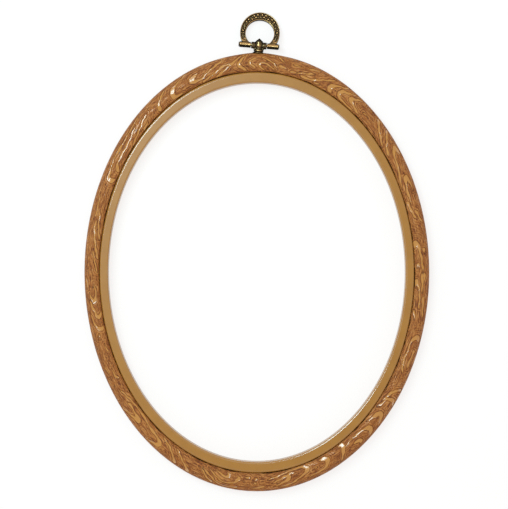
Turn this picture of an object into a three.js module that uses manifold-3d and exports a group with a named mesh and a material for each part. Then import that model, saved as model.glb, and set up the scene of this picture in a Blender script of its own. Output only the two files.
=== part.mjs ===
// Oval embroidery hoop that doubles as a picture frame: a stiff inner ring, a soft vinyl outer ring that is
// pressed down over it, and a cast brass hanger that is clinched through the outer ring.
// Millimetres, +Z up. The hoop lies on its back: its front faces +Z and its hanger points along +Y. The
// origin is on the table, under the middle of the whole part's outline.
import * as THREE from "three";
import { mergeVertices } from "three/addons/utils/BufferGeometryUtils.js";
import Module from "manifold-3d";

const wasm = await Module();
wasm.setup();

// Driving dimensions of the two rings. The seam is the oval where they meet, the size that a hoop is sold by.
const seamWidth = 165;
const seamLength = 210;
const endStretch = 1.24; // both bands are this much wider at the ends of the oval than at its sides
const ringGap = 0.3; // between the two rings' walls, at the sides

// Outer ring: a round bead with a flat inner wall. Widths are those at the sides of the oval.
const outerBand = 7.85; // from the seam to the outer edge
const beadRadius = 4.75;
const wallDrop = 1.03; // from the bead's crown down to the top of its flat inner wall
const wallCorner = 0.5; // size of the rounded corners there
const hangerSwell = 0.45; // how far the ring bulges outward round the hanger
const swellReach = 8; // of that bulge, each way along the ring

// Inner ring: a flat-faced band, cored out from the back, with a lip that the outer ring seats on.
const innerBand = 4.6; // from the seam to the inner edge
const innerHeight = 9.1;
const outerShoulderRadius = 0.9;
const innerShoulderRadius = 0.8;
const lipReach = 1; // past the seam, under the outer ring
const seatGap = 0.3; // between the lip and the bead
const frontWall = 2.5; // thickness left between the core and the front face
const coreWidth = 1.4;
const coreRibs = 24;
const ribThickness = 1.2;
const ribBite = 0.4; // how far a rib runs into the walls round the core, and stops short of the back

// Hanger post: a turned stem with a cross tube, clinched over a washer inside the outer ring.
const hangerLean = 4.5; // degrees, clockwise seen from the front, about the clinched end
const shankRadius = 1.25;
const shankClearance = 0.1;
const washerRadius = 2.9;
const washerThickness = 0.6;
const clinchRadius = 1.95;
const clinchThickness = 0.9;
const headChamfer = 0.25; // of the clinched end and of the pin's heads
const clinchInset = 0.4; // below the outer ring's inner wall, so that the inner ring slides past
const footRadius = 3.1;
const footThickness = 0.6;
const footSink = 0.45; // depth of the flat that the foot sits on
const neckRadius = 2.6;
const grooveHeight = 1.1; // between the neck and the ball
const ballRadius = 2.2;
const ballBase = 29; // degrees below the bar's axis at which the ball runs into the groove
const tipSpread = 20; // degrees above the bar's axis at which the ball runs into its cap
const tipRadius = 2; // of the edge where the cap turns in to its point
const tipShoulder = 2.05; // height of that edge above the bar's axis
const tipHeight = 3.8; // of the point, above the bar's axis
const axisHeight = 3.85; // of the bar's axis, above the outer ring's crown
const tubeRadius = 1.75; // the ball's cross tube
const tubeHalfLength = 4.05;
const webThickness = 2; // of the web that fills the corners between the tube and the neck
const webReach = 0.35; // how far the web stops short of the tube's ends
const seatClearance = 0.1; // between metal pieces, and where they bear on the vinyl

// Hanger bail: a cast horseshoe that ends in two barrels, which the pin holds to the post.
const pinRadius = 0.75;
const pinHeadRadius = 1.3;
const pinHeadThickness = 0.35;
const barrelRadius = 1.53;
const barrelSetback = 0.15; // of a barrel's outer end from the bail's widest place
const barrelSidePlay = 0.25;
const swingClearance = 0.3; // round the cross tube
const endChamfer = 0.2; // of the barrels and the cross tube
const bailReach = 18; // from the bar's axis to the crown's outer edge
const bailHalfWidth = 10.4;
const bailHalfHeight = 11.1;
const bailThickness = 2.2;
const sideBand = 2.93; // width of the bail at its sides
const crownBand = 4.15; // and at its crown
const eyeBase = 0.8; // the eye's oval ends this far below the bar's axis
const fieldBorder = 0.5; // width of the raised borders round the sunk field
const fieldDepth = 0.3;
const fieldSpan = 112; // degrees, each way from the crown
const bailEdge = 0.3; // of the bail's rounded edges
const dotRadius = 0.52; // of the round dots that stand in the field
const outerDots = [7, 20, 43, 54]; // degrees, each way from the crown
const innerDots = [15.5, 32];
const sideDots = [87];
const outerRowInset = 1.4; // of the rows of dots, from the bail's outer edge
const innerRowInset = 2.5;
const tableGap = 0.1; // between the resting bail and the table

// Fineness of the curves.
const ringFacets = 96;
const beadFacets = 8; // in each quarter of the bead
const cornerFacets = 3;
const turnedFacets = 28;
const rodFacets = 24;
const bailFacets = 56;
const dotFacets = 8;

// Places that follow from those sizes.
const seamHalfWidth = seamWidth / 2;
const seamHalfLength = seamLength / 2;
const outerWall = ringGap / 2; // the outer ring's inner wall, outward from the seam
const beadOffset = outerBand - beadRadius; // the bead's centre, outward from the seam
const beadReach = (beadOffset - outerWall) / Math.sqrt(1 - (1 - wallDrop / beadRadius) ** 2);
const beadHeight = (offset) => beadRadius * Math.sqrt(1 - ((offset - beadOffset) / beadReach) ** 2);
const beadLevel = beadRadius + seatGap; // height of the bead's centre above the table
const lipRoot = beadLevel - beadHeight(outerWall) - seatGap;
const lipEdge = beadLevel - beadHeight(lipReach) - seatGap;
const innerWall = -ringGap / 2; // the inner ring's outer wall
const coreMiddle = (innerWall - innerBand) / 2;
const coreDepth = innerHeight - frontWall;
const wallHeight = (outerBand - outerWall) * endStretch + hangerSwell; // of the outer ring at the hanger
const washerFloor = clinchInset + clinchThickness + washerThickness + 2 * seatClearance;
const footLevel = wallHeight - footSink + seatClearance;
const axisLevel = wallHeight + axisHeight;
const grooveRadius = ballRadius * Math.cos(THREE.MathUtils.degToRad(ballBase));
const neckTop = axisLevel - ballRadius * Math.sin(THREE.MathUtils.degToRad(ballBase)) - grooveHeight;
const neckMiddle = (footLevel + footThickness + neckTop) / 2;
const barrelStart = tubeHalfLength + barrelSidePlay;
const barrelEnd = bailHalfWidth - barrelSetback;
const bailCentre = bailReach - bailHalfHeight; // above the bar's axis
const eyeHalfWidth = bailHalfWidth - sideBand;
const eyeHalfHeight = (bailReach - crownBand + eyeBase) / 2;
const eyeCentre = eyeHalfHeight - eyeBase; // above the bar's axis

const vinyl = new THREE.MeshStandardMaterial({ color: 0xa86f42, roughness: 0.45, metalness: 0 });
const plastic = new THREE.MeshStandardMaterial({ color: 0xb08a4e, roughness: 0.4, metalness: 0 });
const brass = new THREE.MeshStandardMaterial({ color: 0x6b5636, roughness: 0.35, metalness: 1 });

// Points along a circular arc, from one angle to another in radians.
function arc(x, y, radius, from, to, steps) {
  return new THREE.EllipseCurve(x, y, radius, radius, from, to, to < from).getPoints(steps);
}

// A closed three.js geometry as a manifold solid. Only its positions count.
function solid(geometry) {
  const bare = new THREE.BufferGeometry();
  const source = geometry.index ? geometry.toNonIndexed() : geometry;
  bare.setAttribute("position", source.getAttribute("position"));
  const merged = mergeVertices(bare, 1e-4);
  return new wasm.Manifold(
    new wasm.Mesh({
      numProp: 3,
      vertProperties: merged.getAttribute("position").array,
      triVerts: new Uint32Array(merged.index.array),
    }),
  );
}

// A manifold solid as a three.js geometry.
function geometryOf(body) {
  const mesh = body.getMesh();
  const geometry = new THREE.BufferGeometry();
  geometry.setAttribute("position", new THREE.BufferAttribute(mesh.vertProperties, 3));
  geometry.setIndex(new THREE.BufferAttribute(mesh.triVerts, 1));
  geometry.computeVertexNormals();
  return geometry;
}

function piece(name, geometry, material) {
  const mesh = new THREE.Mesh(geometry, material);
  mesh.name = name;
  return mesh;
}

// Lays a ring of the given section round the seam. A section point's x is its distance outward from the seam
// at the sides of the oval, and its y is its height. At the top of the oval the ring's outer side bulges by
// the given swell.
function ovalRing(section, swell = 0) {
  const closed = [...section, section[0]];
  const profile = closed.map((p) => new THREE.Vector2(seamHalfWidth + p.x, p.y));
  const ring = new THREE.LatheGeometry(profile, ringFacets);
  ring.rotateX(Math.PI / 2);
  const place = ring.getAttribute("position");
  for (let i = 0; i < place.count; i += 1) {
    const radius = Math.hypot(place.getX(i), place.getY(i));
    const offset = radius - seamHalfWidth;
    const bulge = place.getY(i) > 0 ? swell * Math.exp(-((place.getX(i) / swellReach) ** 2)) : 0;
    const outwardShare = (offset - outerWall) / (outerBand - outerWall);
    const y = (place.getY(i) / radius) * (seamHalfLength + offset * endStretch);
    place.setY(i, y + bulge * outwardShare);
  }
  return ring;
}

// A turned piece. Its profile runs from the lower end to the upper one, as radius and height.
function turned(profile, facets = turnedFacets) {
  const points = profile.map(([radius, height]) => new THREE.Vector2(radius, height));
  return new THREE.LatheGeometry(points, facets);
}

// A rod along X between two places.
function rod(radius, from, to) {
  const profile = [
    [0, from],
    [radius, from],
    [radius, to],
    [0, to],
  ];
  return turned(profile, rodFacets).rotateZ(-Math.PI / 2);
}

// The same rod with chamfered ends.
function chamferedRod(radius, from, to) {
  const profile = [
    [0, from],
    [radius - endChamfer, from],
    [radius, from + endChamfer],
    [radius, to - endChamfer],
    [radius - endChamfer, to],
    [0, to],
  ];
  return turned(profile, rodFacets).rotateZ(-Math.PI / 2);
}

// The upper corner of the outer ring's section, from its bead to its flat wall.
function wallCornerCurve() {
  const onBead = outerWall + wallCorner;
  const top = beadHeight(outerWall);
  return new THREE.QuadraticBezierCurve(
    new THREE.Vector2(onBead, beadHeight(onBead)),
    new THREE.Vector2(outerWall, top),
    new THREE.Vector2(outerWall, top - wallCorner),
  );
}

// The bead is round on its outer side, and drawn out to its wall on its inner one.
function outerRingSection() {
  const cornerAngle = Math.acos((outerWall + wallCorner - beadOffset) / beadReach);
  const outside = arc(beadOffset, 0, beadRadius, 0, Math.PI / 2, beadFacets);
  const inside = arc(0, 0, 1, Math.PI / 2, cornerAngle, cornerFacets)
    .slice(1, -1)
    .map((p) => new THREE.Vector2(beadOffset + beadReach * p.x, beadRadius * p.y));
  const upper = [...outside, ...inside, ...wallCornerCurve().getPoints(cornerFacets)];
  const lower = upper.slice(1).reverse().map((p) => new THREE.Vector2(p.x, -p.y));
  return [...upper, ...lower].map((p) => new THREE.Vector2(p.x, beadLevel + p.y));
}

function innerRingSection() {
  const insideEdge = -innerBand;
  const outerShoulder = [innerWall - outerShoulderRadius, innerHeight - outerShoulderRadius];
  const innerShoulder = [insideEdge + innerShoulderRadius, innerHeight - innerShoulderRadius];
  return [
    new THREE.Vector2(lipReach, 0),
    new THREE.Vector2(lipReach, lipEdge),
    new THREE.Vector2(innerWall, lipRoot),
    ...arc(...outerShoulder, outerShoulderRadius, 0, Math.PI / 2, cornerFacets),
    ...arc(...innerShoulder, innerShoulderRadius, Math.PI / 2, Math.PI, cornerFacets),
    new THREE.Vector2(insideEdge, 0),
    new THREE.Vector2(coreMiddle - coreWidth / 2, 0),
    new THREE.Vector2(coreMiddle - coreWidth / 2, coreDepth),
    new THREE.Vector2(coreMiddle + coreWidth / 2, coreDepth),
    new THREE.Vector2(coreMiddle + coreWidth / 2, 0),
  ];
}

// The inner ring with stiffening ribs across its core.
function innerRing() {
  let body = solid(ovalRing(innerRingSection()));
  for (let i = 0; i < coreRibs; i += 1) {
    const angle = ((i + 0.5) / coreRibs) * 2 * Math.PI;
    const x = (seamHalfWidth + coreMiddle) * Math.cos(angle);
    const y = (seamHalfLength + coreMiddle * endStretch) * Math.sin(angle);
    const outward = new THREE.Vector2(x / (seamHalfWidth ** 2), y / (seamHalfLength ** 2));
    const rib = new THREE.BoxGeometry(coreWidth * endStretch + 2 * ribBite, ribThickness, coreDepth);
    rib.rotateZ(Math.atan2(outward.y, outward.x));
    rib.translate(x, y, coreDepth / 2 + ribBite);
    body = body.add(solid(rib));
  }
  return geometryOf(body);
}

// Turned profile of the post, from its clinched end to its pointed top.
function postProfile() {
  const neck = arc(0, 0, 1, -Math.PI / 2, Math.PI / 2, 2 * cornerFacets).map((p) => [
    grooveRadius + (neckRadius - grooveRadius) * p.x,
    neckMiddle + (neckTop - neckMiddle) * p.y,
  ]);
  const ballStart = -THREE.MathUtils.degToRad(ballBase);
  const ballEnd = THREE.MathUtils.degToRad(tipSpread);
  const ball = arc(0, axisLevel, ballRadius, ballStart, ballEnd, 2 * cornerFacets).map((p) => [p.x, p.y]);
  const clinchTop = clinchInset + clinchThickness;
  return [
    [0, clinchInset],
    [clinchRadius - headChamfer, clinchInset],
    [clinchRadius, clinchInset + headChamfer],
    [clinchRadius, clinchTop],
    [shankRadius, clinchTop],
    [shankRadius, footLevel],
    [footRadius, footLevel],
    [footRadius, footLevel + footThickness],
    ...neck,
    ...ball,
    [tipRadius, axisLevel + tipShoulder],
    [0, axisLevel + tipHeight],
  ];
}

// The flat web under the cross tube. Each side is a hollow curve from the tube down to the neck.
function postWeb() {
  const top = axisLevel - tubeRadius / 2;
  const reach = tubeHalfLength - webReach;
  const outline = new THREE.Shape();
  outline.moveTo(-reach, top);
  outline.quadraticCurveTo(-neckRadius, axisLevel - tubeRadius, -grooveRadius, neckMiddle);
  outline.lineTo(grooveRadius, neckMiddle);
  outline.quadraticCurveTo(neckRadius, axisLevel - tubeRadius, reach, top);
  const plate = new THREE.ExtrudeGeometry(outline, {
    depth: webThickness,
    bevelEnabled: false,
    curveSegments: 2 * cornerFacets,
  });
  return plate.translate(0, 0, -webThickness / 2);
}

function post() {
  const stem = solid(turned(postProfile()));
  const crossTube = chamferedRod(tubeRadius, -tubeHalfLength, tubeHalfLength).translate(0, axisLevel, 0);
  const bore = rod(pinRadius + seatClearance, -barrelEnd, barrelEnd).translate(0, axisLevel, 0);
  return geometryOf(stem.add(solid(crossTube)).add(solid(postWeb())).subtract(solid(bore)));
}

function washer() {
  const level = clinchInset + clinchThickness + seatClearance;
  const bore = shankRadius + seatClearance;
  return turned([
    [bore, level],
    [washerRadius, level],
    [washerRadius, level + washerThickness],
    [bore, level + washerThickness],
    [bore, level],
  ]);
}

// The space that the hanger takes up inside the outer ring: the clinch recess, the shank's hole and the flat
// for its foot.
function hangerCutter() {
  const recessRadius = washerRadius + shankClearance;
  const flatRadius = footRadius + shankClearance;
  const hole = shankRadius + shankClearance;
  return turned([
    [0, -ringGap],
    [recessRadius, -ringGap],
    [recessRadius, washerFloor],
    [hole, washerFloor],
    [hole, footLevel - seatClearance],
    [flatRadius, footLevel - seatClearance],
    [flatRadius, wallHeight + axisHeight / 2],
    [0, wallHeight + axisHeight / 2],
  ]);
}

// The pin is one length through barrels and post, with a peened head at each end.
function pin() {
  const headStart = barrelEnd + seatClearance;
  const headEnd = headStart + pinHeadThickness;
  const half = [
    [pinRadius, headStart],
    [pinHeadRadius, headStart],
    [pinHeadRadius, headEnd - headChamfer],
    [pinHeadRadius - headChamfer, headEnd],
    [0, headEnd],
  ];
  const mirrored = half.map(([radius, place]) => [radius, -place]).reverse();
  return turned([...mirrored, ...half], rodFacets).rotateZ(-Math.PI / 2);
}

// The plate between the bail's outer oval and the oval of its eye, drawn in from both by a border. Its edges
// are rounded by the given amount.
function bailPlate(border, thickness, edge) {
  const oval = (centre, halfWidth, halfHeight) => {
    const curve = new THREE.EllipseCurve(0, centre, halfWidth, halfHeight, 0, 2 * Math.PI);
    return curve.getPoints(bailFacets).slice(0, -1);
  };
  const shape = new THREE.Shape(oval(bailCentre, bailHalfWidth - border, bailHalfHeight - border));
  shape.holes.push(new THREE.Path(oval(eyeCentre, eyeHalfWidth + border, eyeHalfHeight + border)));
  const plate = new THREE.ExtrudeGeometry(shape, {
    depth: thickness - 2 * edge,
    bevelEnabled: edge > 0,
    bevelThickness: edge,
    bevelSize: edge,
    bevelOffset: -edge,
    bevelSegments: 2,
  });
  return plate.translate(0, 0, edge - thickness / 2);
}

// The sunk field on the front of the bail, which ends above the barrels.
function bailField() {
  const field = solid(bailPlate(fieldBorder, fieldDepth * 2, 0).translate(0, 0, bailThickness / 2));
  const half = THREE.MathUtils.degToRad(fieldSpan);
  const fan = arc(0, bailCentre, 2 * bailHalfHeight, Math.PI / 2 - half, Math.PI / 2 + half, dotFacets);
  const wedge = new THREE.Shape([...fan, new THREE.Vector2(0, bailCentre)]);
  const span = new THREE.ExtrudeGeometry(wedge, { depth: 2 * bailThickness, bevelEnabled: false });
  return field.intersect(solid(span));
}

// A round dot that stands in the sunk field, at an angle in degrees from the crown.
function dot(angle, inset) {
  const turn = THREE.MathUtils.degToRad(angle);
  const x = (bailHalfWidth - inset) * Math.sin(turn);
  const y = bailCentre + (bailHalfHeight - inset) * Math.cos(turn);
  const ball = new THREE.SphereGeometry(dotRadius, dotFacets, dotFacets - 2).rotateX(Math.PI / 2);
  return ball.translate(x, y, bailThickness / 2 - fieldDepth);
}

function bailDots() {
  const bothSides = (angles, inset) => angles.flatMap((angle) => [dot(-angle, inset), dot(angle, inset)]);
  return [
    ...bothSides(outerDots, outerRowInset),
    ...bothSides(innerDots, innerRowInset),
    ...bothSides(sideDots, sideBand / 2),
  ];
}

function bail() {
  let body = solid(bailPlate(0, bailThickness, bailEdge));
  const trim = new THREE.BoxGeometry(4 * bailHalfWidth, 2 * bailHalfHeight, 2 * bailThickness);
  body = body.subtract(solid(trim.translate(0, -bailHalfHeight, 0)));
  body = body.subtract(bailField());
  for (const ball of bailDots()) {
    body = body.add(solid(ball));
  }
  body = body.subtract(solid(rod(tubeRadius + swingClearance, -barrelStart, barrelStart)));
  body = body.add(solid(chamferedRod(barrelRadius, barrelStart, barrelEnd)));
  body = body.add(solid(chamferedRod(barrelRadius, -barrelEnd, -barrelStart)));
  return geometryOf(body.subtract(solid(rod(pinRadius + seatClearance, -2 * barrelEnd, 2 * barrelEnd))));
}

// The bail drops back until its far edge is just above the table.
function restingDroop() {
  const corner = Math.atan2(bailThickness / 2, bailReach);
  return Math.asin((beadLevel - tableGap) / Math.hypot(bailReach, bailThickness / 2)) - corner;
}

// The hanger's own frame starts on the outer ring's inner wall, at the top of the oval, and its +Y runs out
// along the post.
function placeHanger(object) {
  object.position.set(0, seamHalfLength + outerWall * endStretch, beadLevel);
  object.rotation.z = -THREE.MathUtils.degToRad(hangerLean);
  return object;
}

function outerRing() {
  const place = placeHanger(new THREE.Object3D());
  place.updateMatrix();
  const cutter = solid(hangerCutter().applyMatrix4(place.matrix));
  return geometryOf(solid(ovalRing(outerRingSection(), hangerSwell)).subtract(cutter));
}

const bailGroup = new THREE.Group();
bailGroup.add(piece("hanger_bail", bail(), brass), piece("hinge_pin", pin(), brass));
bailGroup.position.y = axisLevel;
bailGroup.rotation.x = -restingDroop();

const hanger = placeHanger(new THREE.Group());
hanger.add(piece("hanger_post", post(), brass), piece("clinch_washer", washer(), brass), bailGroup);

const hoop = new THREE.Group();
hoop.add(piece("inner_ring", innerRing(), plastic), piece("outer_ring", outerRing(), vinyl), hanger);

// The whole part is centred on its outline, so the oval's own centre lies half the hanger's reach below the
// origin.
const outline = new THREE.Box3().setFromObject(hoop, true);
hoop.position.y = -(outline.min.y + outline.max.y) / 2;

const part = new THREE.Group();
part.add(hoop);

export default part;
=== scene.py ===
"""Studio scene of an oval embroidery hoop: a tan plastic inner ring, a woodgrain vinyl outer ring and a cast
brass hanger.

The hoop lies on its back on a pale floor and is seen straight from above. The sizes that the classes hold are
millimetres, in the part's own frame, apart from the floor's, the lamp's and the camera's clipping, which are
metres. Meshes become metres when they are placed.
"""

import logging
import math
from dataclasses import dataclass, field
from enum import Enum
from functools import reduce
from typing import Callable, ClassVar, Sequence, Union

import bpy
import numpy as np
from mathutils import Matrix, Vector


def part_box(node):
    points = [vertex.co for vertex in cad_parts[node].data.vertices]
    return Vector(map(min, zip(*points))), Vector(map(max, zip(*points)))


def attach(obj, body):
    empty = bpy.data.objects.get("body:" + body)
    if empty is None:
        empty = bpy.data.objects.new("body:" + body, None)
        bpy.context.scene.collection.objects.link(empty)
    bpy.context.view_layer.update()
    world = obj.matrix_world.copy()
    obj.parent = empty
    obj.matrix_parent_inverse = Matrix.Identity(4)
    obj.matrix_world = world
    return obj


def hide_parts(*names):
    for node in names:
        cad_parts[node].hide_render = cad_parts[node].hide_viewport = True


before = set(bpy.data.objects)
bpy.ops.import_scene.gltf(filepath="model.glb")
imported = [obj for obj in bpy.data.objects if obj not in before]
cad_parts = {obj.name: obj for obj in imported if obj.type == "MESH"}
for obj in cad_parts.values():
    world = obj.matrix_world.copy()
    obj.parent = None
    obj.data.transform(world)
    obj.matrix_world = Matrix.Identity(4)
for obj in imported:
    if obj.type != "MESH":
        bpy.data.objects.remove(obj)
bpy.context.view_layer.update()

MM = 0.001
FULL_TURN = 2 * math.pi
LOG = logging.getLogger("embroidery_hoop")

Colour = tuple[int, int, int]
Place = tuple[float, float]
Span = tuple[float, float]
Triple = tuple[float, float, float]
Socket = bpy.types.NodeSocket
Value = Union[bpy.types.NodeSocket, float]
Paint = Union[bpy.types.NodeSocket, tuple]


class Body(Enum):
    """The bodies of the part that move against each other."""

    INNER_HOOP = "inner_hoop"
    OUTER_HOOP = "outer_hoop"
    BAIL = "bail"


class Slot(Enum):
    """The material slots of the record."""

    TAN_PLASTIC = "tan_plastic"
    WOODGRAIN_VINYL = "woodgrain_vinyl"
    ANTIQUE_BRASS = "antique_brass"


class Surface(Enum):
    """The values that a mesh carries at its points for the shaders.

    GRAIN_GAP is how far the nearest ridge of the grain is, below 0 on a ridge. GRAIN_GIRTH is how far the
    joint between the rings is. RELIEF is how far the point stands out of its surroundings, with painted
    shade where it faces sideways and, on some pieces, a painted highlight where it faces straight to the
    front or back.
    """

    GRAIN_GAP = "grain_gap"
    GRAIN_GIRTH = "grain_girth"
    RELIEF = "relief"


def ease(low: float, high: float, value: np.ndarray) -> np.ndarray:
    """Returns a smooth step from 0 at low to 1 at high.

    Args:
        low: The value at which the step starts.
        high: The value at which it ends. It may lie below low.
        value: The values to step.

    Returns:
        The stepped values, from 0 to 1.
    """
    part = np.clip((value - low) / (high - low), 0.0, 1.0)
    return part * part * (3.0 - 2.0 * part)


def runs_of(line: np.ndarray) -> np.ndarray:
    """Returns how far along a line each of its points is."""
    return np.concatenate([[0.0], np.cumsum(np.linalg.norm(np.diff(line, axis=0), axis=1))])


def linear(colour: Colour) -> tuple[float, float, float, float]:
    """Turns a screen colour into a shader colour.

    Args:
        colour: Red, green and blue from 0 to 255.

    Returns:
        The linear red, green and blue, with a full alpha.
    """
    parts = [c / 255.0 for c in colour]
    red, green, blue = (p / 12.92 if p <= 0.04045 else ((p + 0.055) / 1.055) ** 2.4 for p in parts)
    return red, green, blue, 1.0


# ---------- Shaders ----------


@dataclass(frozen=True)
class Cloud:
    """Noise in round patches: its features for each millimetre, its finer layers and their strength."""

    scale: float
    detail: float = 3.0
    roughness: float = 0.5


@dataclass(frozen=True)
class Streaks:
    """Noise drawn out into streaks: its scale along and across them, its finer layers and their strength."""

    along: float
    across: float
    detail: float = 2.0
    roughness: float = 0.5


class Shader:
    """A procedural material in the making."""

    def __init__(self, name: str) -> None:
        """Starts an empty material.

        Args:
            name: The material's name.
        """
        self.material = bpy.data.materials.new(name)
        self.material.use_nodes = True
        self.tree = self.material.node_tree
        self.tree.nodes.clear()

    def node(self, kind: str, settings: dict | None = None, inputs: dict | None = None) -> bpy.types.Node:
        """Adds a node.

        Args:
            kind: The node's type.
            settings: Its own properties by name.
            inputs: Values or sockets by input name or number.

        Returns:
            The new node.
        """
        made = self.tree.nodes.new(kind)
        for name, value in (settings or {}).items():
            setattr(made, name, value)
        for name, value in (inputs or {}).items():
            if isinstance(value, bpy.types.NodeSocket):
                self.tree.links.new(value, made.inputs[name])
            else:
                made.inputs[name].default_value = value
        return made

    def carried(self, surface: Surface) -> Socket:
        """Returns a value that the mesh carries at its points."""
        return self.node("ShaderNodeAttribute", {"attribute_name": surface.value}).outputs["Fac"]

    def place(self) -> Socket:
        """Returns the place on the piece, in millimetres."""
        scaled = {0: self.node("ShaderNodeTexCoord").outputs["Object"], "Scale": 1.0 / MM}
        return self.node("ShaderNodeVectorMath", {"operation": "SCALE"}, scaled).outputs["Vector"]

    def math(self, operation: str, *values: Value) -> Socket:
        """Returns the result of one of Blender's sums, such as SINE, with its numbers or sockets."""
        return self.node("ShaderNodeMath", {"operation": operation}, dict(enumerate(values))).outputs[0]

    def product(self, *values: Value) -> Socket:
        """Returns the product of numbers or sockets."""
        return reduce(lambda first, second: self.math("MULTIPLY", first, second), values)

    def total(self, *values: Value) -> Socket:
        """Returns the sum of numbers or sockets."""
        return reduce(lambda first, second: self.math("ADD", first, second), values)

    def swing(self, noise: Socket, reach: Value) -> Socket:
        """Returns how far a noise is from its middle, 0.5, times reach."""
        return self.product(self.math("SUBTRACT", noise, 0.5), reach)

    def noise(self, where: Socket, kind: Cloud) -> Socket:
        """Returns a noise of about 0.5, read at some place."""
        inputs = {"Vector": where, "Scale": kind.scale, "Detail": kind.detail, "Roughness": kind.roughness}
        return self.node("ShaderNodeTexNoise", {}, inputs).outputs["Fac"]

    def streaks(self, where: Socket, across: Socket, kind: Streaks) -> Socket:
        """Adds a noise that runs in streaks.

        Args:
            where: The place on the piece.
            across: The value that rises across the streaks.
            kind: How they are drawn out.

        Returns:
            The noise, about 0.5.
        """
        parts = self.node("ShaderNodeSeparateXYZ", {}, {0: where}).outputs
        inputs = {axis: self.product(parts[axis], kind.along) for axis in "XY"}
        inputs["Z"] = self.product(across, kind.across)
        drawn = self.node("ShaderNodeCombineXYZ", {}, inputs).outputs["Vector"]
        return self.noise(drawn, Cloud(1.0, kind.detail, kind.roughness))

    def step(self, value: Socket, span: Span) -> Socket:
        """Returns a smooth step of value, from 0 at the span's first number to 1 at its second."""
        inputs = {"Value": value, "From Min": span[0], "From Max": span[1]}
        return self.node("ShaderNodeMapRange", {"interpolation_type": "SMOOTHSTEP"}, inputs).outputs["Result"]

    def between(self, value: Socket, rise: Span, fall: Span) -> Socket:
        """Returns 1 where value is between two steps, and 0 beyond them."""
        return self.product(self.step(value, rise), self.step(value, fall))

    def range(self, value: Socket, span: Span) -> Socket:
        """Returns a value from 0 to 1 as one from the span's first number to its second."""
        inputs = {"Value": value, "To Min": span[0], "To Max": span[1]}
        return self.node("ShaderNodeMapRange", {}, inputs).outputs["Result"]

    def ramp(self, value: Socket, stops: Sequence[tuple[float, Colour]]) -> Socket:
        """Adds a colour ramp.

        Args:
            value: What the ramp is read at.
            stops: Its places from 0 to 1, each with its colour.

        Returns:
            The colour.
        """
        made = self.node("ShaderNodeValToRGB", {}, {"Fac": value})
        elements = made.color_ramp.elements
        while len(elements) < len(stops):
            elements.new(0.5)
        for element, (position, colour) in zip(elements, stops):
            element.position = position
            element.color = linear(colour)
        return made.outputs["Color"]

    def blend(self, share: Socket, first: Paint, second: Paint) -> Socket:
        """Blends two colours.

        Args:
            share: How much of the second one shows.
            first: The first colour, as a socket or as linear numbers.
            second: The second colour, in the same way.

        Returns:
            The blended colour.
        """
        return self.node("ShaderNodeMix", {"data_type": "RGBA"}, {0: share, 6: first, 7: second}).outputs[2]

    def bump(self, height: Socket, depth: float) -> Socket:
        """Returns the normal of a relief that is depth millimetres deep where height goes from 0 to 1."""
        return self.node("ShaderNodeBump", {}, {"Height": height, "Distance": depth * MM}).outputs["Normal"]

    def finish(self, inputs: dict) -> bpy.types.Material:
        """Closes the material with a plain surface.

        Args:
            inputs: The surface's values or sockets by name.

        Returns:
            The material.
        """
        surface = self.node("ShaderNodeBsdfPrincipled", {}, inputs)
        self.node("ShaderNodeOutputMaterial", {}, {"Surface": surface.outputs["BSDF"]})
        return self.material


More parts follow.
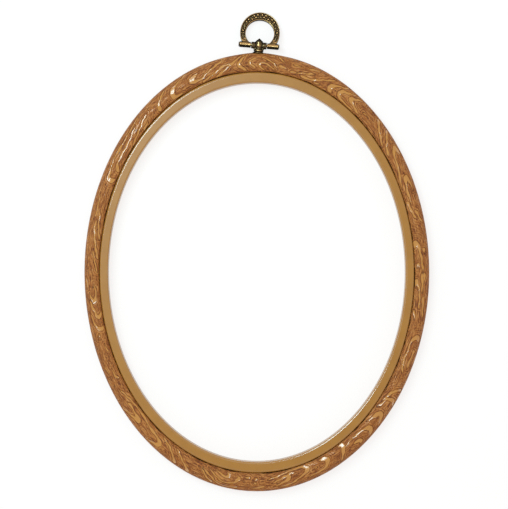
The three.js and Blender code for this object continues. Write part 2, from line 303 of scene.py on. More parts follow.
@dataclass(frozen=True)
class WoodgrainVinyl:
    """Embossed vinyl: smooth golden ridges that stand out of a rough, reddish brown ground.

    Spans that end in _step are read on a noise. The plateau is on the ground's ramp, and the roughness and
    the spans that end in _share or _relief are what comes out. The others are gaps to the nearest ridge or
    distances from the joint, in millimetres.
    """

    ground_dark: Colour = (111, 59, 24)
    ground: Colour = (163, 99, 41)
    ground_light: Colour = (197, 138, 70)
    ground_step: Span = (0.41, 0.59)
    ground_plateau: Span = (0.3, 0.6)
    ridge_dark: Colour = (185, 126, 42)
    ridge_light: Colour = (204, 146, 58)
    ridge_step: Span = (0.3, 0.7)
    ridge_edge: Span = (0.06, -0.06)
    edge_wobble: Cloud = Cloud(1.6, 2.0)
    wobble_reach: float = 0.16

    contour_drift: Streaks = Streaks(0.1, 0.35)
    drift_turns: float = 7.0
    contour_pitch: float = 1.15
    contour_patch: Streaks = Streaks(0.14, 0.3)
    patch_step: Span = (0.36, 0.56)
    contour_share: float = 0.04
    flow: Streaks = Streaks(0.2, 2.6, 5.0, 0.62)
    fibre: Streaks = Streaks(0.24, 3.2, 5.0, 0.64)
    flow_reach: Span = (0.8, 2.0)
    flow_share: Span = (0.6, 0.1)

    line: Colour = (90, 49, 18)
    pore: Streaks = Streaks(0.45, 1.9, 3.0, 0.55)
    pore_step: Span = (0.38, 0.3)
    pore_share: float = 0.95
    border_start: Span = (0.0, 0.12)
    border_end: Span = (0.45, 0.2)
    border_step: Span = (0.38, 0.6)
    border_share: float = 0.75

    # seam is a painted light colour, which lightens the vinyl down in the joint where shade falls.
    seam: Colour = (244, 180, 116)
    joint_light_reach: Span = (0.42, 0.05)
    seam_depth: Span = (-0.9, -0.3)
    # Darker in patches beside the joint.
    joint_patch: Colour = (52, 30, 10)
    joint_patch_noise: Cloud = Cloud(0.16, 3.0, 0.6)
    joint_patch_step: Span = (0.5, 0.58)
    joint_patch_reach: Span = (0.7, 0.25)

    crown: Span = (0.02, -0.2)
    sheen_step: Span = (0.55, 0.63)
    sheen_share: float = 0.45
    roughness: Span = (0.62, 0.15)
    specular: float = 0.35
    coat_roughness: float = 0.19
    coat_ior: float = 1.7
    ridge_rise: Span = (0.16, -0.16)
    ridge_relief: float = 0.2
    streak_relief: Span = (2.8, 0.02)
    pore_relief: Span = (-0.5, 0.0)
    relief_depth: float = 0.16

    def material(self) -> bpy.types.Material:
        """Makes the material.

        Returns:
            The material.
        """
        s = Shader("woodgrain_vinyl")
        place, gap, girth = s.place(), s.carried(Surface.GRAIN_GAP), s.carried(Surface.GRAIN_GIRTH)
        edge = s.total(gap, s.swing(s.noise(place, self.edge_wobble), self.wobble_reach))
        ridge = s.step(edge, self.ridge_edge)
        flow, fibre = s.streaks(place, gap, self.flow), s.streaks(place, girth, self.fibre)
        share = s.range(s.step(gap, self.flow_reach), self.flow_share)
        bend = s.product(share, s.math("SUBTRACT", flow, fibre))
        streak = s.total(fibre, bend, self.contours(s, place, gap, girth))
        pore = s.step(s.streaks(place, girth, self.pore), self.pore_step)

        low, high = self.ground_plateau
        shades = [(0.0, self.ground_dark), (low, self.ground), (high, self.ground), (1.0, self.ground_light)]
        ground = s.ramp(s.step(streak, self.ground_step), shades)
        ground = s.blend(s.product(pore, self.pore_share), ground, linear(self.line))
        crest = s.ramp(s.step(fibre, self.ridge_step), [(0.0, self.ridge_dark), (1.0, self.ridge_light)])
        colour = s.blend(ridge, ground, crest)
        # A dark line in patches beside each ridge: printed grain, and painted shade at the ridge's foot.
        border = s.between(edge, self.border_start, self.border_end)
        border = s.product(border, s.step(flow, self.border_step), self.border_share)
        colour = s.blend(border, colour, linear(self.line))
        colour = self.with_joint_light_and_patches(s, place, girth, colour)

        sheen = s.product(s.step(streak, self.sheen_step), self.sheen_share)
        gloss = s.math("MAXIMUM", s.step(gap, self.crown), sheen)
        relief = s.total(
            s.product(s.step(gap, self.ridge_rise), self.ridge_relief),
            s.swing(streak, s.range(ridge, self.streak_relief)),
            s.product(pore, s.range(ridge, self.pore_relief)),
        )
        return s.finish({
            "Base Color": colour,
            "Roughness": s.range(gloss, self.roughness),
            "Specular IOR Level": self.specular,
            "Coat Weight": gloss,
            "Coat Roughness": self.coat_roughness,
            "Coat IOR": self.coat_ior,
            "Normal": s.bump(relief, self.relief_depth),
        })

    def contours(self, s: Shader, place: Socket, gap: Socket, girth: Socket) -> Socket:
        """Adds the faint lines that run beside the ridges in patches.

        Args:
            s: The material in the making.
            place: The place on the ring.
            gap: The gap to the nearest ridge.
            girth: The distance from the joint.

        Returns:
            What they add to the streaks.
        """
        drift = s.product(s.streaks(place, girth, self.contour_drift), self.drift_turns)
        wave = s.math("SINE", s.total(s.product(gap, FULL_TURN / self.contour_pitch), drift))
        patch = s.step(s.streaks(place, girth, self.contour_patch), self.patch_step)
        return s.product(wave, s.product(patch, self.contour_share))

    def with_joint_light_and_patches(self, s: Shader, place: Socket, girth: Socket, colour: Socket) -> Socket:
        """Paints light over the vinyl down in the joint, where shade falls, and darkens it in patches beside
        it.

        Args:
            s: The material in the making.
            place: The place on the ring.
            girth: The distance from the joint.
            colour: The vinyl's own colour.

        Returns:
            The colour with the painted light in the joint and the dark patches beside it.
        """
        rim = s.step(girth, self.seam_depth)
        # Painted light: the joint is lightened where its shade falls.
        colour = s.blend(s.product(rim, s.step(girth, self.joint_light_reach)), colour, linear(self.seam))
        patch = s.step(s.noise(place, self.joint_patch_noise), self.joint_patch_step)
        joint_patch = s.product(rim, s.product(patch, s.step(girth, self.joint_patch_reach)))
        return s.blend(joint_patch, colour, linear(self.joint_patch))


@dataclass(frozen=True)
class SatinPlastic:
    """Moulded tan plastic with a satin face and glossier shoulders.

    The spans of the seam and the shoulders are distances from the joint, in millimetres.
    """

    body: Colour = (167, 117, 33)
    light: Colour = (173, 123, 39)
    cloud: Cloud = Cloud(0.12)
    cloud_step: Span = (0.3, 0.7)
    dark: Colour = (152, 101, 30)
    speck: Cloud = Cloud(3.4, 2.0)
    speck_step: Span = (0.42, 0.3)
    speck_share: float = 0.5
    # seam is a painted light colour, which lightens the tan by the joint where shade falls.
    seam: Colour = (186, 132, 66)
    joint_light_reach: Span = (0.35, 0.05)

    outer_start: Span = (0.3, 0.5)
    outer_end: Span = (1.15, 0.95)
    outer_gloss: float = 0.6
    inner_start: Span = (3.7, 3.85)
    inner_end: Span = (4.35, 4.1)
    roughness: Span = (0.3, 0.36)
    coat: Span = (0.2, 0.85)
    coat_roughness: float = 0.1
    coat_ior: float = 2.0
    speck_relief: float = 0.2
    relief_depth: float = 0.003

    def material(self) -> bpy.types.Material:
        """Makes the material.

        Returns:
            The material.
        """
        s = Shader("tan_plastic")
        place, girth = s.place(), s.carried(Surface.GRAIN_GIRTH)
        cloud, speck = s.noise(place, self.cloud), s.noise(place, self.speck)
        colour = s.ramp(s.step(cloud, self.cloud_step), [(0.0, self.body), (1.0, self.light)])
        specks = s.product(s.step(speck, self.speck_step), self.speck_share)
        colour = s.blend(specks, colour, linear(self.dark))
        # Painted light over the shade by the joint.
        colour = s.blend(s.step(girth, self.joint_light_reach), colour, linear(self.seam))
        outer = s.product(s.between(girth, self.outer_end, self.outer_start), self.outer_gloss)
        shoulders = s.math("MAXIMUM", outer, s.between(girth, self.inner_start, self.inner_end))
        return s.finish({
            "Base Color": colour,
            "Roughness": s.range(speck, self.roughness),
            "Coat Weight": s.range(shoulders, self.coat),
            "Coat Roughness": self.coat_roughness,
            "Coat IOR": self.coat_ior,
            "Normal": s.bump(s.total(s.product(speck, self.speck_relief), cloud), self.relief_depth),
        })


@dataclass(frozen=True)
class AntiqueBrass:
    """Cast brass, darkened in its recesses and rubbed bright on its high places, with painted shade on what
    faces sideways and a painted highlight on what faces straight to the front or back.
    """

    # recess is the patina in the hollows, and also the painted shade on what faces sideways.
    recess: Colour = (24, 20, 10)
    patina: Colour = (100, 87, 62)
    # rubbed is rubbed brass, and also the painted highlight on what faces straight to the front or back.
    rubbed: Colour = (223, 188, 126)
    edge_tint: Triple = (0.4, 0.34, 0.24)
    cloud: Cloud = Cloud(0.9, 4.0, 0.6)
    fine: Cloud = Cloud(5.0, 3.0, 0.6)
    cloud_reach: float = 0.7
    bright: Span = (0.35, 1.05)
    deep: Span = (0.0, -0.5)
    metal: Span = (1.0, 0.3)
    roughness: Span = (0.18, 0.14)
    fine_roughness: float = 0.08
    deep_roughness: Span = (0.0, 0.3)
    fine_relief: float = 0.5
    relief_depth: float = 0.03

    def material(self) -> bpy.types.Material:
        """Makes the material.

        Returns:
            The material.
        """
        s = Shader("antique_brass")
        place = s.place()
        cloud, fine = s.noise(place, self.cloud), s.noise(place, self.fine)
        # The carried values hold the rubbing and the painted highlight and shade.
        worn_and_shaded = s.total(s.carried(Surface.RELIEF), s.swing(cloud, self.cloud_reach))
        bright, deep = s.step(worn_and_shaded, self.bright), s.step(worn_and_shaded, self.deep)
        colour = s.blend(bright, linear(self.patina), linear(self.rubbed))
        rough = s.total(s.range(bright, self.roughness), s.product(fine, self.fine_roughness))
        return s.finish({
            "Base Color": s.blend(deep, colour, linear(self.recess)),
            "Metallic": s.range(deep, self.metal),
            "Specular Tint": (*self.edge_tint, 1.0),
            "Roughness": s.total(rough, s.range(deep, self.deep_roughness)),
            "Normal": s.bump(s.total(s.product(fine, self.fine_relief), cloud), self.relief_depth),
        })


@dataclass(frozen=True)
class PalePaper:
    """The floor: matt white paper that keeps a soft shadow. It lights the part as a brighter paper would."""

    tones: Span = (0.8, 0.25)
    glow: float = 0.78

    def material(self) -> bpy.types.Material:
        """Makes the material.

        Returns:
            The material.
        """
        s = Shader("pale_paper")
        rays = s.node("ShaderNodeLightPath").outputs
        seen = s.math("MAXIMUM", rays["Is Camera Ray"], rays["Is Glossy Ray"])
        seen = s.math("MAXIMUM", seen, rays["Is Transmission Ray"])
        paper = s.node("ShaderNodeBsdfDiffuse", {}, {"Color": s.range(seen, self.tones)})
        strength = s.product(seen, self.glow)
        light = s.node("ShaderNodeEmission", {}, {"Color": (1.0, 1.0, 1.0, 1.0), "Strength": strength})
        both = s.node("ShaderNodeAddShader", {}, {0: paper.outputs[0], 1: light.outputs[0]})
        s.node("ShaderNodeOutputMaterial", {}, {"Surface": both.outputs[0]})
        return s.material


# ---------- Meshes ----------


@dataclass(frozen=True)
class RubbingAndShading:
    """How a brass piece is rubbed bright on what stands out, with painted shade on what faces sideways and a
    painted highlight on what faces straight to the front or back.

    The relief reaches passes points round each point and counts as 1 at depth. The spans are of the normal's
    upright part.
    """

    passes: int
    depth: float
    facing: Span = (0.45, 0.95)
    # Painted shade on what faces sideways.
    side_painted_shade: float = 0.6
    # A painted highlight where the normal is nearly upright, with painted shade off it.
    painted_sheen_upright: Span = (0.86, 0.98)
    painted_sheen_gain: float = 1.7
    painted_shade_off_sheen: float = 0.7
    limit: float = 1.5


@dataclass
class Form:
    """A mesh in the making: points in millimetres, the faces between them and what the points carry."""

    points: np.ndarray
    faces: list[tuple[int, ...]]
    carried: dict[Surface, np.ndarray] = field(default_factory=dict)

    def moved(self, matrix: Matrix) -> "Form":
        """Returns the form after a move, which is in millimetres."""
        points = self.points @ np.array(matrix.to_3x3()).T + np.array(matrix.translation)
        return Form(points, self.faces, self.carried)

    def with_form(self, other: "Form") -> "Form":
        """Joins this form and another, of which the points carry nothing.

        Args:
            other: The other form.

        Returns:
            Both as one.
        """
        start = len(self.points)
        faces = self.faces + [tuple(start + i for i in face) for face in other.faces]
        return Form(np.vstack([self.points, other.points]), faces)

    def mesh(self, name: str) -> bpy.types.Mesh:
        """Makes a Blender mesh of the form.

        Args:
            name: The mesh's name.

        Returns:
            The mesh, in the form's own unit.
        """
        mesh = bpy.data.meshes.new(name)
        mesh.from_pydata(self.points.tolist(), [], self.faces)
        mesh.validate()
        for surface, values in self.carried.items():
            layer = mesh.attributes.new(surface.value, "FLOAT", "POINT")
            layer.data.foreach_set("value", values.astype(np.float32))
        return mesh

    @classmethod
    def of_mesh(cls, mesh: bpy.types.Mesh) -> "Form":
        """Reads a Blender mesh, with what its points carry.

        Args:
            mesh: A mesh in millimetres.

        Returns:
            The form.
        """
        points = np.empty(len(mesh.vertices) * 3, np.float32)
        mesh.vertices.foreach_get("co", points)
        faces = [tuple(face.vertices) for face in mesh.polygons]
        carried = {}
        for surface in Surface:
            layer = mesh.attributes.get(surface.value)
            if layer is not None:
                values = np.empty(len(mesh.vertices), np.float32)
                layer.data.foreach_get("value", values)
                carried[surface] = values
        return cls(points.reshape(-1, 3).astype(float), faces, carried)

    def worked(self, kind: str, settings: dict, tool: "Form | None" = None) -> "Form":
        """Runs one of Blender's modifiers on the form.

        Args:
            kind: The modifier's type.
            settings: Its properties by name.
            tool: The form that a boolean works with.

        Returns:
            The form that comes out.
        """
        made = [bpy.data.objects.new("work", self.mesh("work"))]
        modifier = made[0].modifiers.new("work", kind)
        for name, value in settings.items():
            setattr(modifier, name, value)
        if tool is not None:
            made.append(bpy.data.objects.new("tool", tool.mesh("tool")))
            modifier.object = made[1]
        for item in made:
            bpy.context.scene.collection.objects.link(item)
        graph = bpy.context.evaluated_depsgraph_get()
        result = bpy.data.meshes.new_from_object(made[0].evaluated_get(graph))
        form = Form.of_mesh(result)
        for item in made:
            old = item.data
            bpy.data.objects.remove(item)
            bpy.data.meshes.remove(old)
        bpy.data.meshes.remove(result)
        return form

    def fused(self, voxel: float, passes: int) -> "Form":
        """Melts overlapping parts into one skin, as a casting has.

        Args:
            voxel: The size of the skin's cells.
            passes: How often it is smoothed.

        Returns:
            The fused form.
        """
        skin = self.worked("REMESH", {"mode": "VOXEL", "voxel_size": voxel})
        return skin.worked("SMOOTH", {"factor": 0.5, "iterations": passes})

    def cut(self, tool: "Form") -> "Form":
        """Returns the form without the space of another."""
        return self.worked("BOOLEAN", {"operation": "DIFFERENCE", "solver": "EXACT"}, tool)

    def joined_edges(self) -> np.ndarray:
        """Returns the pairs of points that faces join."""
        pairs = [(face[i - 1], face[i]) for face in self.faces for i in range(len(face))]
        return np.unique(np.sort(np.array(pairs), axis=1), axis=0)

    def surroundings(self, passes: int) -> np.ndarray:
        """Smooths the points: in each pass they move halfway to the middle of their neighbours.

        Args:
            passes: The number of passes.

        Returns:
            The smoothed points.
        """
        edges = self.joined_edges()
        count = len(self.points)
        share = np.bincount(edges.ravel(), minlength=count)[:, None].clip(1)
        soft = self.points.copy()
        for _ in range(passes):
            total = np.zeros_like(soft)
            for axis in range(3):
                total[:, axis] = np.bincount(edges[:, 0], soft[edges[:, 1], axis], count)
                total[:, axis] += np.bincount(edges[:, 1], soft[edges[:, 0], axis], count)
            soft = 0.5 * soft + 0.5 * total / share
        return soft

    def with_wear_and_shading(
        self, rubbing_and_shading: RubbingAndShading, base: np.ndarray | float = 0.0, painted_sheen: np.ndarray | float = 0.0
    ) -> "Form":
        """Measures how far each point stands out of its surroundings. What faces sideways counts for less and
        gets painted shade, and a painted highlight goes on what faces straight to the front or back.

        Args:
            rubbing_and_shading: How the piece is rubbed, and how its painted highlight and shade are laid.
            base: What is added to the relief.
            painted_sheen: How strongly a painted highlight goes on what faces straight to the front or back,
                with painted shade off it.

        Returns:
            The form, which now carries its relief with the painted highlight and shade.
        """
        mesh = self.mesh("relief")
        normals = np.empty(len(self.points) * 3, np.float32)
        mesh.vertices.foreach_get("normal", normals)
        bpy.data.meshes.remove(mesh)
        normals = normals.reshape(-1, 3)
        height = ((self.points - self.surroundings(rubbing_and_shading.passes)) * normals).sum(axis=1) / rubbing_and_shading.depth
        upright = np.abs(normals[:, 2])
        facing = ease(*rubbing_and_shading.facing, upright)
        # Painted shade: what faces sideways is darkened.
        worn_and_shaded = np.where(height > 0, height * facing, height) - rubbing_and_shading.side_painted_shade * (1.0 - facing)
        # Painted highlight on what faces straight to the front or back, with painted shade off it.
        worn_and_shaded += base + painted_sheen * (rubbing_and_shading.painted_sheen_gain * ease(*rubbing_and_shading.painted_sheen_upright, upright) - rubbing_and_shading.painted_shade_off_sheen)
        self.carried[Surface.RELIEF] = np.clip(worn_and_shaded, -rubbing_and_shading.limit, rubbing_and_shading.limit)
        return self


@dataclass(frozen=True)
class Label:
    """What a piece goes by: its node's name with "_looks", the body that it rides on, its slot, and the angle
    in degrees from which its edges stay sharp."""

    name: str
    body: Body
    slot: Slot
    crease: float


class Piece:
    """One piece of the part."""

    label: ClassVar[Label]

    def form(self) -> Form:
        """Returns the piece's shape, in its place."""
        raise NotImplementedError(self.label.name)

    def build(self, finish: bpy.types.Material) -> bpy.types.Object:
        """Makes the piece and dresses it.

        Args:
            finish: Its material.

        Returns:
            The piece, in metres.
        """
        label, form = self.label, self.form()
        mesh = Form(form.points * MM, form.faces, form.carried).mesh(label.name)
        mesh.shade_smooth()
        mesh.set_sharp_from_angle(angle=math.radians(label.crease))
        mesh.materials.append(finish)
        piece = bpy.data.objects.new(label.name, mesh)
        bpy.context.scene.collection.objects.link(piece)
        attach(piece, label.body.value)
        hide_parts(label.name.removesuffix("_looks"))
        LOG.info("%s: %d faces, on %s", label.name, len(form.faces), label.body.value)
        return piece


def loop_grid(rows: np.ndarray, closed_along: bool, carried: dict[Surface, np.ndarray] | None = None) -> Form:
    """Skins a row of closed loops.

    Args:
        rows: Loops of points, as an array of loops by points by 3.
        closed_along: Whether the last loop joins the first. If not, both ends are capped.
        carried: What the points carry, as arrays of loops by points.

    Returns:
        The skin.
    """
    loops, count = rows.shape[:2]
    index = np.arange(loops * count).reshape(loops, count)
    last = loops if closed_along else loops - 1
    here = index[:last]
    ahead = np.roll(index, -1, axis=0)[:last]
    quads = np.stack([here, ahead, np.roll(ahead, -1, axis=1), np.roll(here, -1, axis=1)], axis=-1)
    faces = [tuple(q) for q in quads.reshape(-1, 4).tolist()]
    if not closed_along:
        faces.append(tuple(index[0].tolist()))
        faces.append(tuple(index[-1][::-1].tolist()))
    flat = {surface: values.ravel() for surface, values in (carried or {}).items()}
    return Form(rows.reshape(-1, 3), faces, flat)


def spun(profile: Sequence[Place], facets: int) -> np.ndarray:
    """Copies a profile round Y.

    Args:
        profile: Radius and height.
        facets: The number of copies.

    Returns:
        The points, as places of the profile by copies by 3.
    """
    rings = np.array(profile, float)
    angles = np.linspace(0.0, FULL_TURN, facets, endpoint=False)
    radius, height = rings[:, :1], np.repeat(rings[:, 1:], facets, axis=1)
    return np.stack([radius * np.sin(angles), height, radius * np.cos(angles)], axis=-1)


def turned(profile: Sequence[Place], facets: int) -> Form:
    """Turns a profile about Y.

    Args:
        profile: Radius and height, from the lower end to the upper one. Both ends are on the axis.
        facets: The number of facets round it.

    Returns:
        The turned form.
    """
    form = loop_grid(spun(profile[1:-1], facets), True)
    top = (len(profile) - 3) * facets
    form.faces = form.faces[:top]
    start = len(form.points)
    form.points = np.vstack([form.points, [0.0, profile[0][1], 0.0], [0.0, profile[-1][1], 0.0]])
    for i in range(facets):
        ahead = (i + 1) % facets
        form.faces.append((start, i, ahead))
        form.faces.append((start + 1, top + ahead, top + i))
    form.faces = [tuple(reversed(face)) for face in form.faces]
    return form


def mirrored(half: Sequence[Place]) -> list[Place]:
    """Returns half a profile as its mirror image below 0, from the lower end to the upper one."""
    return [(radius, -height) for radius, height in reversed(half)]


def along_x(form: Form) -> Form:
    """Returns a turned form with its axis along X."""
    return form.moved(Matrix.Rotation(-math.pi / 2, 4, "Z"))


def rod(radius: float, half_length: float, facets: int) -> Form:
    """Returns a plain rod along X, with its middle at 0."""
    half = [(radius, half_length), (0.0, half_length)]
    return along_x(turned([*mirrored(half), *half], facets))


def arc(centre: Place, radii: Place | float, start: float, end: float, steps: int) -> list[Place]:
    """Returns points along an arc.

    Args:
        centre: Its centre.
        radii: Its radius, or an elliptical one's two radii.
        start: The first angle in degrees.
        end: The last angle in degrees.
        steps: The number of steps between them.

    Returns:
        The points.
    """
    wide, high = radii if isinstance(radii, tuple) else (radii, radii)
    angles = [math.radians(start + (end - start) * i / steps) for i in range(steps + 1)]
    return [(centre[0] + wide * math.cos(a), centre[1] + high * math.sin(a)) for a in angles]


def bent(start: np.ndarray, knee: np.ndarray, end: np.ndarray, steps: int) -> np.ndarray:
    """Returns points along a curve from start to end that is drawn towards a knee.

    Args:
        start: The first point.
        knee: The point that the curve heads for and leaves from.
        end: The last point.
        steps: The number of steps between them.

    Returns:
        The points.
    """
    share = np.linspace(0.0, 1.0, steps + 1)[:, None]
    return start * (1 - share) ** 2 + 2 * knee * share * (1 - share) + end * share**2


def boss(centre: Triple, radii: Triple, turn: float, facets: int) -> Form:
    """Makes a small rounded boss.

    Args:
        centre: Its centre.
        radii: Its radii along its own axes.
        turn: Its turn about Z, in degrees.
        facets: The number of facets round it.

    Returns:
        The boss.
    """
    ball = turned(arc((0.0, 0.0), 1.0, -90.0, 90.0, facets // 2), facets)
    spin = Matrix.Rotation(math.radians(turn), 4, "Z")
    return ball.moved(Matrix.Translation(centre) @ spin @ Matrix.Diagonal((*radii, 1.0)))


# ---------- Rings ----------


@dataclass(frozen=True)
class Seam:
    """The oval along which the two rings meet. Turns are clockwise from its top, seen from the front."""

    half_width: float = 82.5
    half_length: float = 105.0
    end_stretch: float = 1.24

    def centre(self) -> float:
        """Returns how far along Y the oval's centre lies in the part's frame."""
        low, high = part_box("inner_ring")
        return (low.y + high.y) / 2 / MM

    def lay(self, turns: np.ndarray, section: np.ndarray) -> np.ndarray:
        """Lays a section round the oval.

        Args:
            turns: The turns of the section's copies, in radians.
            section: The section's offsets outward from the seam and its heights, as points by 2.

        Returns:
            The points, as turns by points by 3.
        """
        offset, height = section[:, 0], section[:, 1]
        sine, cosine = np.sin(turns)[:, None], np.cos(turns)[:, None]
        x = (self.half_width + offset) * sine
        y = (self.half_length + offset * self.end_stretch) * cosine + self.centre()
        return np.stack([x, y, np.broadcast_to(height, x.shape)], axis=-1)

    def stretch(self, turns: np.ndarray) -> np.ndarray:
        """Returns how much wider the rings' bands are at some turns than at the sides."""
        return np.hypot(np.sin(turns), self.end_stretch * np.cos(turns))


@dataclass(frozen=True)
class Ridge:
    """One raised line of the grain. It bends back at its nose, and its arms run on clockwise from there.

    Places are degrees of turn and shares of the band, 0 at the seam and 1 at the outer edge. An arm holds
    those of its points one after the other, from the nose outward.
    """

    heft: float
    nose: Place
    outer: tuple[float, ...]
    inner: tuple[float, ...] = ()

    def line(self) -> tuple[np.ndarray, int]:
        """Returns the ridge's points from the end of its outer arm to that of its inner one, and its nose's
        number among them."""
        outer, inner = (np.reshape(arm, (-1, 2)) for arm in (self.outer, self.inner))
        return np.vstack([outer[::-1], [self.nose], inner]), len(outer)


